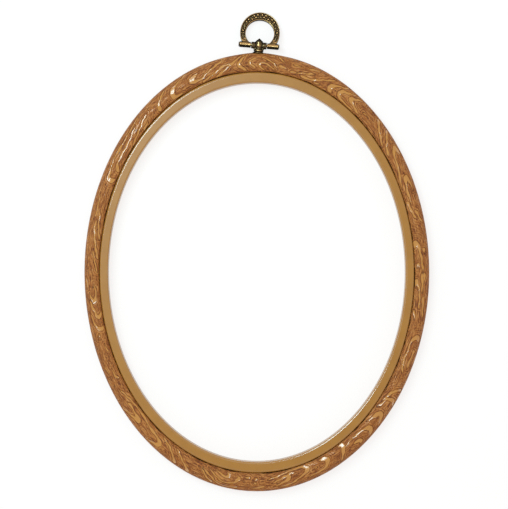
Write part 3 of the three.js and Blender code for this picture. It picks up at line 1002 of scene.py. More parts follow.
GRAIN: tuple[Ridge, ...] = (
    Ridge(0.8, (0.6, 0.36), (2.5, 0.44, 4.1, 0.36, 5.6, 0.2, 7.0, 0.08), (2.1, 0.12, 3.4, 0.03)),
    Ridge(0.6, (1.6, 0.74), (3.1, 0.68, 4.6, 0.58, 5.6, 0.48, 6.5, 0.36, 7.5, 0.2)),
    Ridge(1.2, (7.6, 0.4), (9.6, 0.36, 10.8, 0.3)),
    Ridge(0.7, (7.2, 0.9), (8.8, 0.72, 10.2, 0.6)),
    Ridge(0.6, (11.6, 0.22), (14.0, 0.26, 17.5, 0.4, 20.5, 0.56)),
    Ridge(0.5, (12.6, 0.62), (15.5, 0.68)),
    Ridge(0.7, (15.5, 0.18), (18.5, 0.16, 21.5, 0.3, 23.5, 0.46, 25.8, 0.66, 28.0, 0.86)),
    Ridge(0.6, (18.0, 0.7), (20.5, 0.8, 22.5, 0.9)),
    Ridge(0.6, (20.5, 0.1), (24.0, 0.18)),
    Ridge(1.9, (26.25, 0.28), (28.1, 0.56, 30.0, 0.72, 31.5, 0.82, 33.1, 0.96), (27.9, 0.06)),
    Ridge(1.5, (30.0, 0.36), (31.3, 0.56, 33.1, 0.68, 34.5, 0.8, 36.0, 0.94), (31.3, 0.12, 34.5, 0.07,
          37.5, 0.06)),
    Ridge(1.5, (34.1, 0.48), (35.6, 0.64, 36.9, 0.78, 38.6, 0.94), (36.0, 0.36, 37.5, 0.24, 39.5, 0.14)),
    Ridge(0.5, (40.0, 0.42), (42.5, 0.44)),
    Ridge(0.5, (40.5, 0.86), (43.5, 0.88)),
    Ridge(1.7, (45.0, 0.9), (46.5, 0.68, 48.1, 0.44, 49.4, 0.32, 50.6, 0.2, 51.9, 0.08)),
    Ridge(1.4, (49.0, 0.92), (50.3, 0.72, 51.3, 0.58, 52.5, 0.36, 53.8, 0.24, 55.6, 0.12)),
    Ridge(1.6, (54.1, 0.76), (55.6, 0.84, 57.5, 0.9), (55.6, 0.56, 57.0, 0.44, 60.0, 0.36, 62.5, 0.2,
          66.0, 0.1)),
    Ridge(1.7, (63.1, 0.56), (63.8, 0.68, 67.5, 0.76), (65.0, 0.44, 67.5, 0.36, 71.2, 0.42)),
    Ridge(0.9, (69.5, 0.14), (73.0, 0.28, 75.5, 0.48)),
    Ridge(0.8, (72.5, 0.52), (75.5, 0.72, 77.0, 0.84)),
    Ridge(1.7, (81.25, 0.12), (82.5, 0.28, 84.4, 0.4, 86.3, 0.48, 90.0, 0.56), (83.4, 0.05)),
    Ridge(0.6, (87.5, 0.22), (89.0, 0.3), (89.0, 0.12)),
    Ridge(1.2, (83.2, 0.66), (85.0, 0.68)),
    Ridge(0.8, (90.0, 0.66), (93.0, 0.62)),
    Ridge(0.8, (90.0, 0.46), (93.0, 0.5, 95.6, 0.54)),
    Ridge(0.9, (92.0, 0.12), (95.6, 0.34, 100.0, 0.42), (94.5, 0.06)),
    Ridge(0.8, (96.3, 0.64), (99.5, 0.68, 102.5, 0.76)),
    Ridge(0.6, (100.5, 0.12), (103.5, 0.24)),
    Ridge(2.0, (107.4, 0.76), (109.0, 0.9), (108.1, 0.56, 108.8, 0.44, 110.0, 0.36, 112.5, 0.3, 115.0, 0.28,
          116.9, 0.36, 118.8, 0.5)),
    Ridge(1.1, (111.0, 0.74), (114.0, 0.68, 117.0, 0.67)),
    Ridge(1.1, (122.5, 0.94), (123.4, 0.72, 124.4, 0.56, 125.0, 0.44, 126.3, 0.34, 127.5, 0.24, 128.8, 0.14)),
    Ridge(1.7, (126.3, 0.84), (128.2, 0.94), (126.9, 0.56, 127.5, 0.4, 128.1, 0.34, 130.0, 0.24,
          131.3, 0.12)),
    Ridge(1.9, (131.6, 0.64), (133.8, 0.84, 135.0, 0.92), (132.5, 0.44, 133.8, 0.34, 135.0, 0.26,
          137.0, 0.14)),
    Ridge(2.0, (136.8, 0.62), (138.1, 0.84, 139.0, 0.94), (138.1, 0.44, 138.8, 0.36, 140.0, 0.3, 142.5, 0.26,
          144.4, 0.24, 146.3, 0.3, 147.5, 0.36)),
    Ridge(1.0, (141.4, 0.72), (143.0, 0.8), (142.5, 0.6, 143.8, 0.54, 145.0, 0.52)),
    Ridge(1.8, (147.5, 0.28), (148.5, 0.48, 149.4, 0.72, 150.6, 0.9), (148.1, 0.12, 150.0, 0.06)),
    Ridge(1.9, (154.0, 0.36), (155.0, 0.56, 156.3, 0.7, 157.5, 0.72, 162.5, 0.78), (155.0, 0.24, 156.3, 0.18,
          157.5, 0.12)),
    Ridge(0.6, (158.3, 0.44), (160.3, 0.5)),
    Ridge(1.8, (161.4, 0.28), (163.1, 0.48, 165.0, 0.6, 166.9, 0.72, 168.8, 0.8, 172.5, 0.84), (162.5, 0.16,
          163.8, 0.07, 167.0, 0.08, 170.0, 0.14, 172.5, 0.24, 176.3, 0.38)),
    Ridge(1.3, (168.25, 0.42), (169.4, 0.54, 171.3, 0.64, 174.4, 0.78), (169.0, 0.34, 170.4, 0.34,
          172.5, 0.46, 175.0, 0.6)),
    Ridge(0.5, (166.0, 0.28), (168.0, 0.22, 170.0, 0.28)),
    Ridge(0.8, (177.2, 0.72), (179.5, 0.78, 182.0, 0.84)),
    Ridge(1.2, (179.6, 0.3), (181.2, 0.34)),
    Ridge(1.3, (182.3, 0.22), (184.4, 0.28)),
    Ridge(0.9, (180.0, 0.56), (181.6, 0.5)),
    Ridge(0.8, (184.2, 0.5), (185.0, 0.42)),
    Ridge(1.2, (186.0, 0.34), (187.0, 0.46, 188.1, 0.62, 190.0, 0.68, 192.5, 0.64, 193.8, 0.52, 195.6, 0.36,
          197.5, 0.14), (186.9, 0.16)),
    Ridge(1.1, (189.6, 0.26), (190.8, 0.36, 191.9, 0.34, 193.8, 0.22, 195.0, 0.1), (190.8, 0.1)),
    Ridge(0.9, (186.3, 0.84), (190.0, 0.9, 193.8, 0.82, 195.6, 0.62, 197.5, 0.46, 199.4, 0.26)),
    Ridge(0.9, (195.0, 0.9), (197.5, 0.72, 198.8, 0.5, 200.6, 0.32)),
    Ridge(1.6, (203.6, 0.92), (205.0, 0.72, 206.9, 0.48, 208.1, 0.32, 209.4, 0.16, 210.6, 0.07)),
    Ridge(1.4, (208.4, 0.9), (210.0, 0.64, 211.3, 0.44, 212.5, 0.28, 214.4, 0.16, 216.3, 0.07)),
    Ridge(1.8, (215.4, 0.56), (216.9, 0.74, 218.8, 0.84, 221.3, 0.93), (216.9, 0.4, 218.8, 0.32, 221.3, 0.26,
          225.0, 0.13, 230.0, 0.14, 232.5, 0.24, 234.4, 0.36, 236.3, 0.5)),
    Ridge(1.7, (225.0, 0.56), (227.5, 0.68, 229.4, 0.8, 232.5, 0.94), (227.5, 0.44, 230.0, 0.38,
          231.9, 0.44)),
    Ridge(0.7, (238.8, 0.18), (240.0, 0.34, 242.5, 0.42)),
    Ridge(0.6, (241.5, 0.7), (244.5, 0.78)),
    Ridge(0.6, (247.0, 0.2), (249.8, 0.3)),
    Ridge(1.3, (251.8, 0.5), (253.0, 0.46)),
    Ridge(1.6, (253.8, 0.16), (254.3, 0.36, 255.3, 0.56, 256.9, 0.68, 259.1, 0.76), (255.0, 0.06)),
    Ridge(1.2, (257.1, 0.26), (258.1, 0.4, 259.0, 0.46, 260.2, 0.56, 262.4, 0.7), (258.1, 0.12, 259.4, 0.05)),
    Ridge(1.1, (261.6, 0.4), (262.5, 0.54, 264.6, 0.7), (263.1, 0.3, 265.0, 0.26, 266.9, 0.34)),
    Ridge(0.6, (265.5, 0.82), (269.0, 0.86)),
    Ridge(0.8, (270.0, 0.1), (273.8, 0.34, 276.5, 0.46)),
    Ridge(0.8, (273.6, 0.1), (277.5, 0.32, 281.5, 0.5, 284.5, 0.56)),
    Ridge(0.7, (279.0, 0.1), (283.0, 0.28, 287.5, 0.4)),
    Ridge(0.6, (285.0, 0.62), (289.0, 0.64, 292.0, 0.7)),
    Ridge(2.0, (295.9, 0.4), (296.9, 0.56, 298.8, 0.6, 300.0, 0.64, 303.1, 0.7, 307.5, 0.68, 312.5, 0.76,
          316.0, 0.88), (296.6, 0.22, 297.6, 0.05)),
    Ridge(1.5, (299.5, 0.1), (300.6, 0.28, 301.9, 0.36, 303.8, 0.38, 307.5, 0.4, 310.0, 0.46, 311.9, 0.56,
          313.6, 0.64)),
    Ridge(0.9, (308.6, 0.06), (310.5, 0.14, 312.5, 0.24, 315.0, 0.38, 316.9, 0.5, 318.8, 0.56)),
    Ridge(0.9, (314.5, 0.05), (317.5, 0.2)),
    Ridge(1.9, (322.6, 0.1), (323.1, 0.36, 324.2, 0.56, 325.2, 0.68, 326.3, 0.8, 327.8, 0.9)),
    Ridge(2.0, (328.6, 0.4), (329.4, 0.56, 330.6, 0.64, 331.5, 0.72, 333.8, 0.84, 336.3, 0.96), (329.0, 0.2,
          330.4, 0.1, 332.8, 0.05)),
    Ridge(1.8, (336.0, 0.46), (338.0, 0.58, 340.0, 0.62), (337.5, 0.3, 340.0, 0.26, 342.5, 0.44, 345.6, 0.66,
          347.5, 0.78, 348.8, 0.92)),
    Ridge(1.0, (340.0, 0.05), (342.5, 0.16, 346.3, 0.38, 347.5, 0.48, 351.3, 0.58)),
    Ridge(1.0, (345.0, 0.04), (348.1, 0.24, 350.0, 0.42, 351.9, 0.58, 352.5, 0.66, 353.8, 0.8, 355.0, 0.93)),
    Ridge(1.0, (353.4, 0.42), (354.1, 0.58, 355.0, 0.72, 356.3, 0.9), (354.4, 0.28, 355.6, 0.14,
          356.9, 0.05)),
    Ridge(0.8, (357.3, 0.5), (358.8, 0.66, 360.8, 0.7), (358.1, 0.34, 360.0, 0.16)),
)


@dataclass(frozen=True)
class Grain:
    """The embossed pattern of the outer ring.

    A ridge is widest at its nose, where it grows with its heft, and tapers towards the ends of its arms. The
    sway is what bends it off its line. Its waves are radians for each millimetre along and across, and a
    start.
    """

    ridges: tuple[Ridge, ...] = GRAIN
    arm_half: float = 0.42
    arm_share: Span = (0.45, 0.55)
    nose_gain: float = 0.58
    nose_reach: float = 3.4
    nose_shift: float = 0.2
    slim_heft: float = 0.5
    nose_taper: float = 0.8
    end_taper: float = 2.6
    end_overrun: float = 0.4
    end_share: float = 0.12
    curve_steps: int = 6
    farthest: float = 6.0
    sway: float = 0.16
    sway_waves: tuple[Triple, ...] = ((0.93, 1.7, 0.0), (0.41, -2.3, 1.0))

    def curve(self, line: np.ndarray) -> np.ndarray:
        """Rounds a line of points.

        Args:
            line: The points that the curve runs through.

        Returns:
            Points along the curve, a few for each stretch between two of the given ones.
        """
        padded = np.vstack([2 * line[0] - line[1], line, 2 * line[-1] - line[-2]])
        share = np.linspace(0.0, 1.0, self.curve_steps, endpoint=False)[:, None]
        made = []
        for before, here, ahead, after in zip(padded, padded[1:], padded[2:], padded[3:]):
            bend = 2 * before - 5 * here + 4 * ahead - after
            twist = -before + 3 * here - 3 * ahead + after
            made.append(0.5 * (2 * here + (ahead - before) * share + bend * share**2 + twist * share**3))
        return np.vstack([*made, line[-1:]])

    def widths(self, curve: np.ndarray, nose: int, heft: float) -> np.ndarray:
        """Returns half the ridge's width along its curve.

        Args:
            curve: The ridge's curve in millimetres.
            nose: The number of its nose among the given points.
            heft: How heavy it is.

        Returns:
            Half the width at each point of the curve.
        """
        run = runs_of(curve)
        from_nose = np.abs(run - run[nose * self.curve_steps])
        least, growth = self.arm_share
        arm = self.arm_half * min(1.0, least + growth * heft)
        swell = self.nose_gain * (heft - self.slim_heft)
        half = arm + swell * np.exp(-((from_nose / self.nose_reach) ** 2))
        has_inner_arm = nose * self.curve_steps < len(run) - 1
        last_taper = self.end_taper if has_inner_arm else self.nose_taper
        start = ease(-self.end_overrun, self.end_taper, run)
        return half * np.maximum(start * ease(-self.end_overrun, last_taper, run[-1] - run), self.end_share)

    def gaps(
        self, along: np.ndarray, across: np.ndarray, length: float, to_mm: Callable[[np.ndarray], np.ndarray]
    ) -> np.ndarray:
        """Measures how far places on the band are from the edge of the nearest ridge.

        Args:
            along: The places' runs round the ring, in millimetres.
            across: Their places across the band, in millimetres.
            length: The length round the ring.
            to_mm: Turns a ridge's points into millimetres.

        Returns:
            The gap of each place, below 0 on a ridge.
        """
        gap = np.full(along.shape, self.farthest)
        sway = self.sway * sum(np.sin(along * a + across * b + start) for a, b, start in self.sway_waves)
        for ridge in self.ridges:
            line, nose = ridge.line()
            line[nose, 0] += self.nose_shift * ridge.heft
            curve = self.curve(to_mm(line))
            half = self.widths(curve, nose, ridge.heft)
            low, high = curve[:, 0].min(), curve[:, 0].max()
            middle = (low + high) / 2
            reach = (high - low) / 2 + self.farthest
            near = (along - middle + length / 2) % length - length / 2
            picked = np.nonzero(np.abs(near) < reach)
            x, y = near[picked] + middle, across[picked] + sway[picked]
            best = gap[picked]
            for start, end, half_start, half_end in zip(curve, curve[1:], half, half[1:]):
                step = end - start
                share = ((x - start[0]) * step[0] + (y - start[1]) * step[1]) / max(step @ step, 1e-9)
                share = share.clip(0.0, 1.0)
                away = np.hypot(x - start[0] - share * step[0], y - start[1] - share * step[1])
                best = np.minimum(best, away - half_start - share * (half_end - half_start))
            gap[picked] = best
        return gap


@dataclass
class OuterRing(Piece):
    """The pressed-on ring: a round bead in embossed vinyl, with a flat inner wall.

    Its section starts at the top of the wall and runs over the crown, the outermost line and the back.
    """

    label: ClassVar[Label] = Label("outer_ring_looks", Body.OUTER_HOOP, Slot.WOODGRAIN_VINYL, 50.0)

    seam: Seam
    grain: Grain = field(default_factory=Grain)
    ring_gap: float = 0.3
    band: float = 7.85
    bead_radius: float = 4.75
    wall_drop: float = 1.03
    wall_corner: float = 0.5
    seat_gap: float = 0.3
    columns: int = 2000
    front_rows: int = 31
    back_rows: int = 15
    wall_rows: int = 3
    corner_steps: int = 7
    outline_steps: int = 24
    measure_steps: int = 3600
    ridge_height: float = 0.16
    ridge_flank: float = 0.24
    ground_drop: float = 0.09
    ground_flank: Span = (-0.1, 0.3)
    grain_start: Span = (0.2, 1.2)
    back_shear: float = 0.9
    hanger_swell: float = 0.45
    swell_reach: float = 8.0

    @property
    def wall(self) -> float:
        """How far outward from the seam the inner wall is."""
        return self.ring_gap / 2

    @property
    def crown(self) -> float:
        """How far outward from the seam the bead's crown is."""
        return self.band - self.bead_radius

    @property
    def level(self) -> float:
        """The height of the bead's centre above the table."""
        return self.bead_radius + self.seat_gap

    def bead_reach(self) -> float:
        """Returns the width of the bead's inner half, from which the wall is cut."""
        return (self.crown - self.wall) / math.sqrt(1 - (1 - self.wall_drop / self.bead_radius) ** 2)

    def bead_height(self, offset: float) -> float:
        """Returns the height of the bead's inner half above its centre."""
        return self.bead_radius * math.sqrt(1 - ((offset - self.crown) / self.bead_reach()) ** 2)

    def outline(self) -> np.ndarray:
        """Draws the front half of the section finely, from the wall over the crown to the outermost place.

        Returns:
            The points, as offsets and heights above the bead's centre.
        """
        top = self.bead_height(self.wall)
        on_bead = self.wall + self.wall_corner
        start = np.array([self.wall, top - self.wall_corner])
        end = np.array([on_bead, self.bead_height(on_bead)])
        corner = bent(start, np.array([self.wall, top]), end, self.corner_steps)
        offsets = np.linspace(on_bead, self.crown, self.outline_steps)[1:-1]
        inside = np.array([(offset, self.bead_height(offset)) for offset in offsets])
        outside = np.array(arc((self.crown, 0.0), self.bead_radius, 90.0, 0.0, 2 * self.outline_steps))
        return np.vstack([corner, inside, outside])

    def section(self) -> tuple[np.ndarray, np.ndarray]:
        """Spaces points round the section.

        Returns:
            The section's offsets and heights as points by 2, and their runs round it from the wall's top.
        """
        front = self.outline()
        run = runs_of(front)
        wall_height = 2 * front[0, 1]

        def spaced(places: np.ndarray) -> np.ndarray:
            """Returns the front outline's points at some runs."""
            return np.stack([np.interp(places, run, side) for side in front.T], axis=1)

        front_places = np.linspace(0.0, run[-1], self.front_rows + 1)
        back_places = np.linspace(run[-1], 0.0, self.back_rows + 1)[1:]
        wall_places = np.linspace(0.0, wall_height, self.wall_rows + 1)[1:-1]
        back = spaced(back_places) * (1.0, -1.0)
        inner = np.stack([np.full_like(wall_places, self.wall), wall_places - wall_height / 2], axis=1)
        runs = np.concatenate([front_places, 2 * run[-1] - back_places, 2 * run[-1] + wall_places])
        return np.vstack([spaced(front_places), back, inner]) + (0.0, self.level), runs

    def folded(self, runs: np.ndarray) -> np.ndarray:
        """Returns the runs round the section, counted back again past the outermost line."""
        limb = runs[self.front_rows]
        return np.where(runs > limb, 2 * limb - runs, runs)

    def form(self) -> Form:
        """Makes the ring with its embossed grain, and cuts the hanger's seat out of it.

        Returns:
            The ring.
        """
        section, runs = self.section()
        turns = np.linspace(0.0, FULL_TURN, self.columns, endpoint=False)
        points = self.seam.lay(turns, section)
        points[..., 1] += self.bulge(points, section[:, 0])
        top, bottom = section[0, 1], section[self.front_rows + self.back_rows, 1]
        depth = np.minimum(top - section[:, 1], section[:, 1] - bottom)
        girth = np.where(runs > 2 * runs[self.front_rows], -depth, self.folded(runs))
        gap = self.grain_gaps(turns, runs)
        lift = self.ridge_height * ease(self.ridge_flank, -self.ridge_flank, gap)
        lift = lift - self.ground_drop * ease(*self.ground_flank, gap)
        lift = lift * ease(*self.grain_start, np.abs(girth))[None, :]
        points = points + self.normals(points) * lift[..., None]
        carried = {Surface.GRAIN_GAP: gap, Surface.GRAIN_GIRTH: np.broadcast_to(girth, gap.shape).copy()}
        return loop_grid(points, True, carried).cut(HangerSeat(self).cutter())

    def bulge(self, points: np.ndarray, offsets: np.ndarray) -> np.ndarray:
        """Returns how far the ring bulges out round its hanger.

        Args:
            points: The ring's grid of points.
            offsets: The section's offsets outward from the seam.

        Returns:
            The rise along Y of each point.
        """
        near = np.exp(-((points[..., 0] / self.swell_reach) ** 2)) * (points[..., 1] > self.seam.centre())
        return self.hanger_swell * near * (offsets - self.wall) / (self.band - self.wall)

    def normals(self, points: np.ndarray) -> np.ndarray:
        """Finds which way the ring's points face.

        Args:
            points: The ring's grid of points.

        Returns:
            Their outward normals.
        """
        along = np.roll(points, -1, axis=0) - np.roll(points, 1, axis=0)
        across = np.roll(points, -1, axis=1) - np.roll(points, 1, axis=1)
        outward = np.cross(across, along)
        return outward / np.linalg.norm(outward, axis=-1, keepdims=True)

    def grain_gaps(self, turns: np.ndarray, runs: np.ndarray) -> np.ndarray:
        """Lays the grain over the ring.

        The back carries the front's pattern, folded over at the ring's outermost line and sheared along it.

        Args:
            turns: The turns of the ring's columns.
            runs: The runs of its rows round the section.

        Returns:
            The gap to the nearest ridge, as columns by rows.
        """
        fine = np.linspace(0.0, FULL_TURN, self.measure_steps + 1)
        half_width = self.seam.half_width + self.crown
        half_length = self.seam.half_length + self.crown * self.seam.end_stretch
        pace = np.hypot(half_width * np.cos(fine), half_length * np.sin(fine))
        run_along = np.concatenate([[0.0], np.cumsum((pace[1:] + pace[:-1]) / 2 * np.diff(fine))])
        length = run_along[-1]
        front = self.outline()
        front_runs = runs_of(front)
        front_shares = (front[:, 0] - self.wall) / (self.band - self.wall)

        def to_mm(line: np.ndarray) -> np.ndarray:
            """Turns a ridge's points into millimetres.

            Args:
                line: The points, as degrees and shares of the band.

            Returns:
                Their runs along and across the band.
            """
            angle = np.radians(line[:, 0])
            along = np.interp(angle % FULL_TURN, fine, run_along) + length * np.floor(angle / FULL_TURN)
            across = np.interp(line[:, 1], front_shares, front_runs) * self.seam.stretch(angle)
            return np.stack([along, across], axis=1)

        shear = self.back_shear * np.maximum(runs - runs[self.front_rows], 0.0)[None, :]
        along = np.interp(turns, fine, run_along)[:, None] + shear
        across = self.folded(runs)[None, :] * self.seam.stretch(turns)[:, None]
        return self.grain.gaps(along, across, length, to_mm)


@dataclass
class HangerSeat:
    """What the hanger takes out of the outer ring, and where the hanger stands. Its lean is in degrees."""

    ring: OuterRing
    lean: float = 4.5
    washer_radius: float = 2.9
    washer_floor: float = 2.1
    shank_radius: float = 1.25
    clearance: float = 0.1
    foot_radius: float = 3.1
    foot_sink: float = 0.45
    axis_height: float = 3.85
    inner_overrun: float = 1.0
    outer_overrun: float = 2.0
    facets: int = 72

    @property
    def wall_height(self) -> float:
        """The ring's thickness at the hanger."""
        return (self.ring.band - self.ring.wall) * self.ring.seam.end_stretch + self.ring.hanger_swell

    @property
    def axis_level(self) -> float:
        """How far the bar's axis is from the clinched end."""
        return self.wall_height + self.axis_height

    def frame(self) -> Matrix:
        """Places the hanger.

        Returns:
            Its place: the origin is on the ring's inner wall and +Y runs out along the post.
        """
        seam = self.ring.seam
        top = seam.centre() + seam.half_length + self.ring.wall * seam.end_stretch
        lean = Matrix.Rotation(-math.radians(self.lean), 4, "Z")
        return Matrix.Translation((0.0, top, self.ring.level)) @ lean

    def cutter(self) -> Form:
        """Makes the space for the clinch, the shank and the foot.

        Returns:
            The space, in the part's frame.
        """
        radii = (self.washer_radius, self.shank_radius, self.foot_radius)
        recess, hole, flat = (radius + self.clearance for radius in radii)
        start, end = -self.clearance - self.inner_overrun, self.wall_height + self.outer_overrun
        floor = self.wall_height - self.foot_sink
        profile = [(0.0, start), (recess, start), (recess, self.washer_floor), (hole, self.washer_floor)]
        profile += [(hole, floor), (flat, floor), (flat, end), (0.0, end)]
        return turned(profile, self.facets).moved(self.frame())


@dataclass(frozen=True)
class Corner:
    """A corner of the inner ring's section, rounded to a radius in a number of steps."""

    offset: float
    height: float
    radius: float
    steps: int


@dataclass
class InnerRing(Piece):
    """The stiff tan ring, which is cored out from the back and ribbed.

    Half a rib's outline is in shares of its length and thickness, and its draft is how thick it is at its
    foot, just above it and at its root. Flats that are longer than flat_run get points close to their ends,
    which keep their shading flat.
    """

    label: ClassVar[Label] = Label("inner_ring_looks", Body.INNER_HOOP, Slot.TAN_PLASTIC, 40.0)

    seam: Seam
    outer: OuterRing
    band: float = 4.6
    height: float = 9.1
    outer_shoulder: float = 0.9
    inner_shoulder: float = 0.8
    lip_reach: float = 1.0
    front_wall: float = 2.5
    core_width: float = 1.4
    core_radius: float = 0.3
    edge_break: float = 0.15
    fine_break: float = 0.1
    ribs: int = 24
    rib_outline: tuple[Place, ...] = (
        (0.0, -0.5), (0.42, -0.5), (0.5, -0.42), (0.5, 0.42), (0.42, 0.5), (0.0, 0.5)
    )
    rib_thickness: float = 1.2
    rib_bite: float = 0.4
    rib_lead: float = 0.12
    rib_draft: Triple = (0.9, 1.0, 1.16)
    columns: int = 720
    flat_run: float = 1.0
    flat_margin: float = 0.06
    shoulder_level: float = 8.0

    @property
    def core_depth(self) -> float:
        """How deep the ring is cored out."""
        return self.height - self.front_wall

    def corners(self) -> list[Corner]:
        """Lists the corners of the section.

        Returns:
            The corners, from the lip's lower one round to the core's mouth.
        """
        wall, level, seat_gap = -self.outer.wall, self.outer.level, self.outer.seat_gap
        lip_root = level - self.outer.bead_height(self.outer.wall) - seat_gap
        lip_edge = level - self.outer.bead_height(self.lip_reach) - seat_gap
        middle = (wall - self.band) / 2
        near, far = middle + self.core_width / 2, middle - self.core_width / 2
        return [
            Corner(self.lip_reach, 0.0, self.edge_break, 3),
            Corner(self.lip_reach, lip_edge, self.edge_break, 3),
            Corner(wall, lip_root, self.fine_break, 2),
            Corner(wall, self.height, self.outer_shoulder, 8),
            Corner(-self.band, self.height, self.inner_shoulder, 10),
            Corner(-self.band, 0.0, self.edge_break, 3),
            Corner(far, 0.0, self.fine_break, 2),
            Corner(far, self.core_depth, self.core_radius, 3),
            Corner(near, self.core_depth, self.core_radius, 3),
            Corner(near, 0.0, self.fine_break, 2),
        ]

    def rounded(
        self, before: np.ndarray, here: np.ndarray, ahead: np.ndarray, corner: Corner
    ) -> list[np.ndarray]:
        """Rounds a corner.

        Args:
            before: The corner before it.
            here: The corner's own place.
            ahead: The corner after it.
            corner: How it is rounded.

        Returns:
            The points round it.
        """
        back = (before - here) / np.linalg.norm(before - here)
        on = (ahead - here) / np.linalg.norm(ahead - here)
        half = math.acos(float(np.clip(back @ on, -1.0, 1.0))) / 2
        run = corner.radius / math.tan(half)
        middle = here + (back + on) / np.linalg.norm(back + on) * corner.radius / math.sin(half)
        start, end = here + back * run - middle, here + on * run - middle
        x, y = start
        turn = math.atan2(x * end[1] - y * end[0], float(start @ end))
        made = []
        for step in range(corner.steps + 1):
            a = turn * step / corner.steps
            made.append(middle + (x * math.cos(a) - y * math.sin(a), x * math.sin(a) + y * math.cos(a)))
        return made

    def section(self) -> np.ndarray:
        """Draws the rounded section.

        Returns:
            Its points, as offsets and heights.
        """
        corners = self.corners()
        places = [np.array([corner.offset, corner.height]) for corner in corners]
        made: list[np.ndarray] = []
        for i, corner in enumerate(corners):
            made += self.rounded(places[i - 1], places[i], places[(i + 1) % len(places)], corner)
        held: list[np.ndarray] = []
        for here, ahead in zip(made, made[1:] + made[:1]):
            held.append(here)
            run = float(np.linalg.norm(ahead - here))
            if run > self.flat_run:
                margin = (ahead - here) * self.flat_margin / run
                held += [here + margin, ahead - margin]
        return np.array(held)

    def rib(self, turn: float) -> Form:
        """Makes a rib across the core.

        Args:
            turn: Its turn round the oval, in radians.

        Returns:
            The rib.
        """
        middle = -(self.outer.wall + self.band) / 2
        x = (self.seam.half_width + middle) * math.sin(turn)
        y = (self.seam.half_length + middle * self.seam.end_stretch) * math.cos(turn)
        way = math.atan2(y / self.seam.half_length**2, x / self.seam.half_width**2)
        wide = self.core_width * self.seam.end_stretch / 2 + self.rib_bite
        outline = [*self.rib_outline, *((-a, b) for a, b in reversed(self.rib_outline[1:-1]))]
        levels = (self.rib_bite, self.rib_bite + self.rib_lead, self.core_depth + self.rib_bite)
        loops = []
        for level, size in zip(levels, self.rib_draft):
            loops.append([(2 * wide * a, self.rib_thickness * size * b, level) for a, b in outline])
        move = Matrix.Translation((x, y + self.seam.centre(), 0.0)) @ Matrix.Rotation(way, 4, "Z")
        return loop_grid(np.array(loops), False).moved(move)

    def form(self) -> Form:
        """Makes the ring with its ribs.

        Returns:
            The ring. Its points carry how far they are from the joint.
        """
        turns = np.linspace(0.0, FULL_TURN, self.columns, endpoint=False)
        form = loop_grid(self.seam.lay(turns, self.section())[:, ::-1], True)
        for i in range(self.ribs):
            form = form.with_form(self.rib(math.pi / 2 - (i + 0.5) / self.ribs * FULL_TURN))
        x, y, z = form.points.T
        radius = np.hypot(x / self.seam.half_width, (y - self.seam.centre()) / self.seam.half_length)
        girth = np.abs((1 - radius) * self.seam.half_width) + np.maximum(self.shoulder_level - z, 0.0)
        form.carried = {Surface.GRAIN_GIRTH: girth}
        return form


# ---------- Hanger ----------


